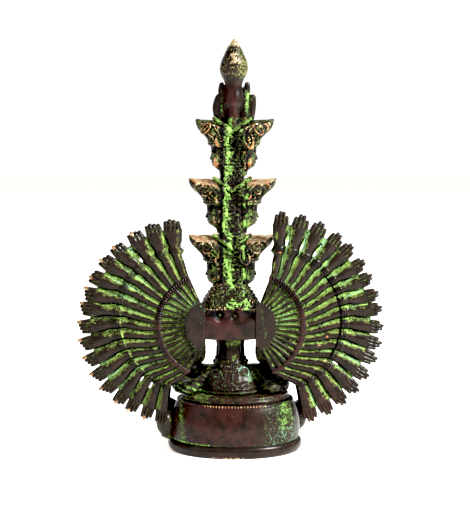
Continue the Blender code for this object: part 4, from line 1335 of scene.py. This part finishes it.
    inPit = np.maximum(inPit, 0.8 * plate * blob(x, z, (-10.8, 75.4), (3.6, 1.5), 2))
    # a painted glint on the pin ends: lighter olive-green with a little bare metal
    pins = sum(hill((x - px) ** 2 + (z - pz) ** 2, 0, 0.9) for px, pz in shape["pits"]) * plate
    skirt = behind * fall(z, 47.0, 48.5) * (1 - cloth) * ramp(y, 9.0, 11.0)
    waist = behind * ramp(z, 48.0, 49.5) * fall(z, 60.0, 61.0) * (np.abs(x) < 9.5)
    cape = ramp(z, 76.6, 77.4)
    rest = (1 - plate) * (1 - skirt) * (1 - waist)
    ring = hill(np.hypot(x + 7.0, z - 42.6), 3.0, 1.3)
    flare = blob(x, z, (-10.5, 40.5), (2.4, 4.0))
    lowLeft = cloth * ramp(x, 8, 14) * fall(z, 35.0, 39.0)
    foldLine = ramp(np.sin(2.1 * z - 0.75 * np.abs(x) + 1.6 * lumps), 0.15, 0.85)
    capeLime = (
        cape * clamp(hill(x, -1.0, 2.6) + hill(x, -8.0, 2.4) + 0.6 * hill(z, 79.5, 1.5))
        * ramp(lumps + 0.5 * fleck, -0.35, 0.1)
    )
    patina = rest * (0.34 + 0.22 * hollow + 0.28 * lumps) * (1 - 0.35 * cloth)
    patina += skirt * (0.14 + 0.34 * ridge + 0.55 * ring * ridge + 0.40 * flare)
    patina += (
        waist * (0.18 + 0.55 * ramp(z, 54.5, 58.5) * (0.6 + fleck) + 0.3 * lumps
        + 0.35 * np.exp(-((x + 2.4) ** 2 + (z - 50.5) ** 2) / 5.0))
    )
    patina += (
        plate * 0.30 * ramp(62.6 - z, 0, 1.2)
        + cloth * foldLine * np.where(x > 0, 0.22 + 0.22 * lowLeft, 0.18)
    )
    patina = np.maximum(patina, 0.92 * capeLime)
    teal = 0.08 + skirt * (0.25 + 0.45 * flare + 0.55 * ring) + 0.2 * lumps
    rim = cape * fall(z, 78.6, 79.6) * behind
    specks = plate * ramp(wobble(points, 0.5 * mm, 23), 0.62, 0.72)
    arms = ramp(np.abs(x), 11.5, 12.5) * ramp(z, 44.0, 46.0) * fall(z, 60.0, 61.0)
    wear = (
        -0.10 + 0.72 * ridge * rest * (1 - capeLime) * (1 - 0.6 * cloth) * (1 - 0.75 * arms) + 0.38 * pins
        + 0.30 * rim + 0.5 * specks * (1 - inPit)
    )
    wear += 0.34 * skirt * ramp(fine, 0.6, 1.6) * (1 - flare)
    olive = clamp(0.70 + 0.5 * lumps - 0.4 * hollow) * rest + 0.45 * waist
    olive = clamp(olive * (1 - capeLime) * (1 - lowLeft) + 0.8 * plate * ramp(62.6 - z, 0, 1.2))
    paint(figure, "patina", patina - 0.4 * inPit * (1 - pins) + 0.5 * pins)
    paint(figure, "wear", wear)
    paint(figure, "teal", teal)
    paint(figure, "olive", olive)
    paint(figure, "tone", clamp(plate * (0.15 + 0.75 * ramp(x, -12.0, 0.0)) + 0.30 * skirt + 0.2 * waist))
    # painted shade, near black: on both sides of the waist, in fine and broad hollows, in the pits, along
    # the plate's set-back edge and between the cloth folds
    waistSideShade = waist * (ramp(x, 0.5, 3.5) + ramp(-x, 4.2, 6.0)) * (0.60 + 0.4 * fleck)
    paintedShadeAndGrime = (
        0.85 * ramp(-fine, 0.3, 1.4) * (1 - plate) + 0.35 * ramp(-broad, 0.4, 1.4) * rest
        + 0.95 * inPit * (1 - pins) + waistSideShade
    )
    paintedShadeAndGrime += 0.5 * plate * ramp(shape["plateBack"] - y, 0.5, 1.3) * ramp(fleck + lumps, -0.2, 0.4)
    paintedShadeAndGrime += 0.5 * cloth * (1 - foldLine) * ramp(-lumps - 0.4 * fleck, -0.35, 0.2)
    paint(figure, "paintedShadeAndGrime", clamp(paintedShadeAndGrime))
    return figure


seatedFigure = makeFigure()
dress(seatedFigure, "seated_figure", brass)

# lotus base: a turned foot and drum, and petals round its front and one side
baseShape = {
    "middle": (-2.4, 3.55), "halfWide": 36.4, "flat": 56.0 / 72.8,
    "footHigh": 6.2, "drumHigh": 27.8, "seatHigh": 31.4,
    "petals": 10, "petalArc": (-66.0, 100.0), "petalWide": 11.5, "petalLow": 5.6, "petalTall": 18.5,
    "petalOut": 10.0,
    "stamenGap": 1.45,
}


def basePlace(radius, turn, z):  # turn in radians, from the front (-Y) towards +X
    shape = baseShape
    x = shape["middle"][0] + radius * np.sin(turn)
    y = shape["middle"][1] - radius * shape["flat"] * np.cos(turn)
    return np.stack(np.broadcast_arrays(x, y, z), -1)


def addDrum():
    arc = np.linspace(-1, 1, 15)
    profile = [(34.6, 0.0), (35.3, 0.12)]
    profile += [
        (34.55 + 1.85 * math.cos(a * 1.25), 3.05 + 2.75 * math.sin(a * 1.25) / math.sin(1.25)) for a in arc
    ]
    profile += [(34.75, 5.95), (34.35, 6.25), (34.6, 6.6), (34.95, 7.4)]
    taper = ((0, 0.25, 0.4, 0.5, 0.65, 0.78, 0.9, 1.0), (0.07, 0.0, 0.04, 0.1, 0.24, 0.43, 0.66, 0.90))
    for t in np.linspace(0.04, 1, 40):
        profile.append(
            (35.3 - 4.6 * np.mean(np.interp(t + np.linspace(-0.05, 0.05, 7), *taper)), 7.4 + 19.4 * t)
        )
    profile += [(31.0, 27.15), (30.7, 27.4), (30.3, 27.5), (29.2, 27.45), (28.95, 27.7), (29.05, 28.2)]
    profile += [(28.9 + 0.5 * math.sin(t * math.pi), 28.2 + 1.5 * t) for t in np.linspace(0.1, 0.95, 8)]
    profile += [
        (28.75, 29.85), (28.7, 30.2), (28.85, 30.5), (28.8, 31.0), (28.4, 31.32), (27.8, 31.4),
        (26.0, 31.4), (20.0, 31.4), (10.0, 31.4), (3.0, 31.4)
    ]
    profile = np.array(profile)
    steps = np.concatenate([[0], np.cumsum(np.linalg.norm(np.diff(profile, axis=0), axis=1))])
    at = np.unique(np.concatenate([np.linspace(0, steps[-8], 150), steps[-8:]]))
    radius, z = np.interp(at, steps, profile[:, 0]), np.interp(at, steps, profile[:, 1])
    turn = np.linspace(0, math.tau, 360, endpoint=False)
    return spinLoft("drum", [basePlace(r, turn, height) for r, height in zip(radius, z)])


# a bellied petal with a raised rim and a panel, curled at its tip
def addPetal(turn, width, tall, out, low):
    shape = baseShape
    clearSelection()
    bpy.ops.mesh.primitive_uv_sphere_add(segments=56, ring_count=36, radius=1.0)
    petal = bpy.context.object
    corners = np.array([v.co for v in petal.data.vertices])
    side, depth, rise = corners.T
    share = (rise + 1) / 2
    centre = np.sqrt(side**2 + rise**2)
    outside = depth > 0
    relief = (
        0.55 * hill(centre, 0.80, 0.07) - 0.35 * hill(centre, 0.66, 0.06) + 0.30 * hill(centre, 0.55, 0.05)
    )
    relief += 0.22 * hill(side, 0, 0.08) * (centre < 0.5) + 0.15 * np.cos(side * 34) * (centre < 0.47)
    relief = np.where(outside, relief, 0.0)
    narrow = 1 - 0.16 * ramp(rise, 0.35, 1.0) + 0.06 * hill(rise, 0.2, 0.4)
    lean = 0.10 + 0.25 * share + 0.30 * share**6
    half = shape["halfWide"] - 1.1
    foot = basePlace(half, turn, 0.0)
    along = np.array([math.cos(turn), shape["flat"] * math.sin(turn), 0.0])
    along /= np.linalg.norm(along)
    away = np.array([along[1], -along[0], 0.0])
    place = (
        foot + along * (side * narrow * width / 2)[:, None]
        + away * (out * (depth * 0.53 + lean) + relief)[:, None]
    )
    place[:, 2] += low + share * tall + 0.3 * relief * rise
    for vert, spot in zip(petal.data.vertices, place):
        vert.co = spot * mm
    petal.data.shade_smooth()
    return petal


def makeBase():
    shape = baseShape
    parts = [addDrum()]
    first, last = (math.radians(a) for a in shape["petalArc"])
    turns = np.linspace(first, last, shape["petals"])
    for turn in turns:
        parts.append(
            addPetal(turn, shape["petalWide"], shape["petalTall"], shape["petalOut"], shape["petalLow"])
        )
    gap = (last - first) / (shape["petals"] - 1) / 2
    for turn in turns[:-1] + gap:  # smaller petals between them
        parts.append(addPetal(turn, 6.0, 16.5, 5.6, shape["petalLow"] + 0.4))
    # a row of stamens round the drum's upper edge
    count = int(math.tau * 31 * 0.88 / shape["stamenGap"])
    angle = np.linspace(0, math.tau, count, endpoint=False)
    parts.append(scatterBalls("stamens", basePlace(31.2, angle, 27.15), [(0.40, 0.45, 0.66)] * count))
    beadPoints = len(parts[-1].data.vertices)
    base = joined(parts, "lotusBase")
    bpy.ops.object.mode_set(mode="EDIT")
    bpy.ops.mesh.select_all(action="SELECT")
    bpy.ops.mesh.normals_make_consistent(inside=False)
    bpy.ops.object.mode_set(mode="OBJECT")
    points = reliefOf(base, ())[0]
    x, y, z = (points / mm).T
    around = np.arctan2(x - shape["middle"][0], -(y - shape["middle"][1]) / shape["flat"])
    radius = np.hypot(x - shape["middle"][0], (y - shape["middle"][1]) / shape["flat"])
    behind = ramp(y, 8, 14)
    lumps = wobble(points, 4.0 * mm, 31)
    small = wobble(points, 1.3 * mm, 32)
    petals = ramp(radius, 35.6, 36.6) * ramp(z, 6.0, 8.0) * fall(y, 15, 22)
    onDrum = ramp(z, 6.0, 7.0) * fall(z, 27.7, 27.9) * (1 - petals)
    onSeat = ramp(z, 27.7, 27.9)
    leftPatch = hill(x - 25.8 - 0.09 * (z - 15), 0, 2.4 + small) * behind
    rightPatch = hill(x, -29.0, 3.4 + small) * behind * ramp(z, 9, 13)
    joint = hill(z, 6.75, 0.55) * (0.35 + 0.5 * ramp(x, 0, 12)) * (1 + 0.6 * small)
    # green towards the drum's -X side: patina, partly a painted grey-green sheen
    patina = (
        onDrum * (0.05 + 0.42 * leftPatch + 0.23 * rightPatch + 0.24 * ramp(-x, 10, 24)
        + 0.25 * lumps * rightPatch) + 0.62 * joint
    )
    patina += onSeat * (0.20 + 0.26 * ramp(x, 6, 14) + 0.45 * lumps * ramp(x, 2, 10) + 0.3 * small)
    patina += petals * (0.26 + 0.30 * lumps + 0.25 * small)
    # teal low on the drum's -X end: teal patina, partly a painted teal-grey highlight
    teal = (
        0.10 + (0.25 * rightPatch + 0.35 * ramp(-x, 16, 26)) * fall(z, 10, 20)
        + 0.30 * ramp(-x, 14, 22) * (1 - rightPatch) + 0.15 * lumps
    )
    stamens = (np.arange(len(points)) >= len(points) - beadPoints) * (0.7 + 0.5 * small)
    wear = -0.05 + 1.2 * stamens * behind * hill(x, -1, 21, 4)
    wear += 1.05 * hill(z, 0.6, 0.8) * (0.6 + 0.5 * small) * hill(x, 1, 13, 4)
    wear += onSeat * 0.55 * hill(x, -13, 8) * (0.6 + 0.6 * small)
    rims = petals * clamp(wobble(points, 2.0 * mm, 33) + 0.2)
    wear += 0.35 * rims
    paint(base, "patina", patina)
    paint(base, "wear", wear)
    paint(base, "teal", teal)
    paint(base, "olive", clamp(0.35 * petals + 0.35 * onSeat + 0.4 * lumps * (1 - onDrum)))
    paint(base, "tone", clamp(0.60 * onDrum * ramp(x, -22, -4) + 0.3 * onSeat + 0.15 + 0.15 * lumps))
    # painted shadow, near black, in the crease above the stamens and in the groove where the drum meets the
    # foot
    crease = hill(z, 27.75, 0.35) * (radius < 30.6) + 0.9 * hill(z, 6.2, 0.30) * (radius < 35.0)
    paint(base, "paintedShadeAndGrime", clamp(crease * (1 - 1.2 * joint)))
    base.data.shade_smooth()
    return base


lotusBase = makeBase()
dress(lotusBase, "lotus_base", brass)

# floor, light and camera
studio = {
    "floorColour": (0.93, 0.92, 0.90), "floorGlow": (1.0, 0.93, 0.86), "glowStrength": 0.62,
    "skyAbove": 0.42, "skyLow": 0.04, "skySide": 0.22,
    "lamps": {  # place, power and size
        "keyLamp": ((-0.95, 0.55, 0.95), 60.0, 0.32), "fillLamp": ((0.9, 0.6, 0.5), 2.5, 0.8),
        "frontLamp": ((0.5, -1.0, 0.7), 7.0, 1.0),
    },
    "cameraPlace": (-0.0024, 0.65355, 0.170), "cameraDown": 6.01, "lens": 83.77,
}
clearSelection()
bpy.ops.mesh.primitive_plane_add(size=8.0, location=(0, 0, 0))
floor = bpy.context.object
floor.name = "floor"
floorFinish = bpy.data.materials.new("paleFloor")
floorFinish.use_nodes = True
floorShader = floorFinish.node_tree.nodes["Principled BSDF"]
for key, value in (
    ("Base Color", (*studio["floorColour"], 1)), ("Roughness", 0.9),
    ("Emission Color", (*studio["floorGlow"], 1)), ("Emission Strength", studio["glowStrength"]),
):
    floorShader.inputs[key].default_value = value
floor.data.materials.append(floorFinish)


def makeSky():  # brighter above and to one side, plain white behind the object
    sky = bpy.data.worlds.new("studioSky")
    bpy.context.scene.world = sky
    sky.use_nodes = True
    nodes = sky.node_tree.nodes
    add, feed = nodeTools(sky.node_tree)
    way = add("ShaderNodeSeparateXYZ")
    feed(way.inputs[0], add("ShaderNodeTexCoord").outputs["Generated"])
    both = add("ShaderNodeMath", operation="ADD")
    for socket, axis, numbers in (
        (both.inputs[0], "Z", {"From Min": 0.0, "To Min": studio["skyLow"], "To Max": studio["skyAbove"]}),
        (both.inputs[1], "X", {"From Min": 0.2, "From Max": -1.0, "To Min": 0.0,
        "To Max": studio["skySide"]}),
    ):
        spread = add("ShaderNodeMapRange")
        feed(spread.inputs["Value"], way.outputs[axis])
        for key, number in numbers.items():
            feed(spread.inputs[key], number)
        feed(socket, spread.outputs["Result"])
    white = (1.0, 1.0, 1.0)
    light, behind = nodes["Background"], add("ShaderNodeBackground")
    feed(light.inputs["Strength"], both.outputs[0])
    choice = add("ShaderNodeMixShader")
    feed(choice.inputs[0], add("ShaderNodeLightPath").outputs["Is Camera Ray"])
    for shade, socket in ((light, choice.inputs[1]), (behind, choice.inputs[2])):
        feed(shade.inputs["Color"], white)
        feed(socket, shade.outputs[0])
    feed(nodes["World Output"].inputs["Surface"], choice.outputs[0])


makeSky()


def addLamp(name, place, power, size):
    bpy.ops.object.light_add(type="AREA", location=place)
    lamp = bpy.context.object
    lamp.name = name
    lamp.data.energy = power
    lamp.data.size = size
    aim = Vector((0, 0, 0.1)) - Vector(place)
    lamp.rotation_euler = aim.to_track_quat("-Z", "Y").to_euler()


for name, (place, power, size) in studio["lamps"].items():
    addLamp(name, place, power, size)

lens = bpy.data.cameras.new("photoCamera")
lens.lens = studio["lens"]
lens.sensor_width = 36.0
camera = bpy.data.objects.new("photoCamera", lens)
bpy.context.scene.collection.objects.link(camera)
camera.location = studio["cameraPlace"]
camera.rotation_euler = (math.radians(90 - studio["cameraDown"]), 0, math.radians(180))
bpy.context.scene.camera = camera
view = bpy.context.scene.view_settings
view.view_transform = "Standard"
view.use_curve_mapping = True
view.curve_mapping.black_level = (0.015, 0.015, 0.014)
view.curve_mapping.white_level = (0.93, 0.93, 0.93)
view.curve_mapping.update()

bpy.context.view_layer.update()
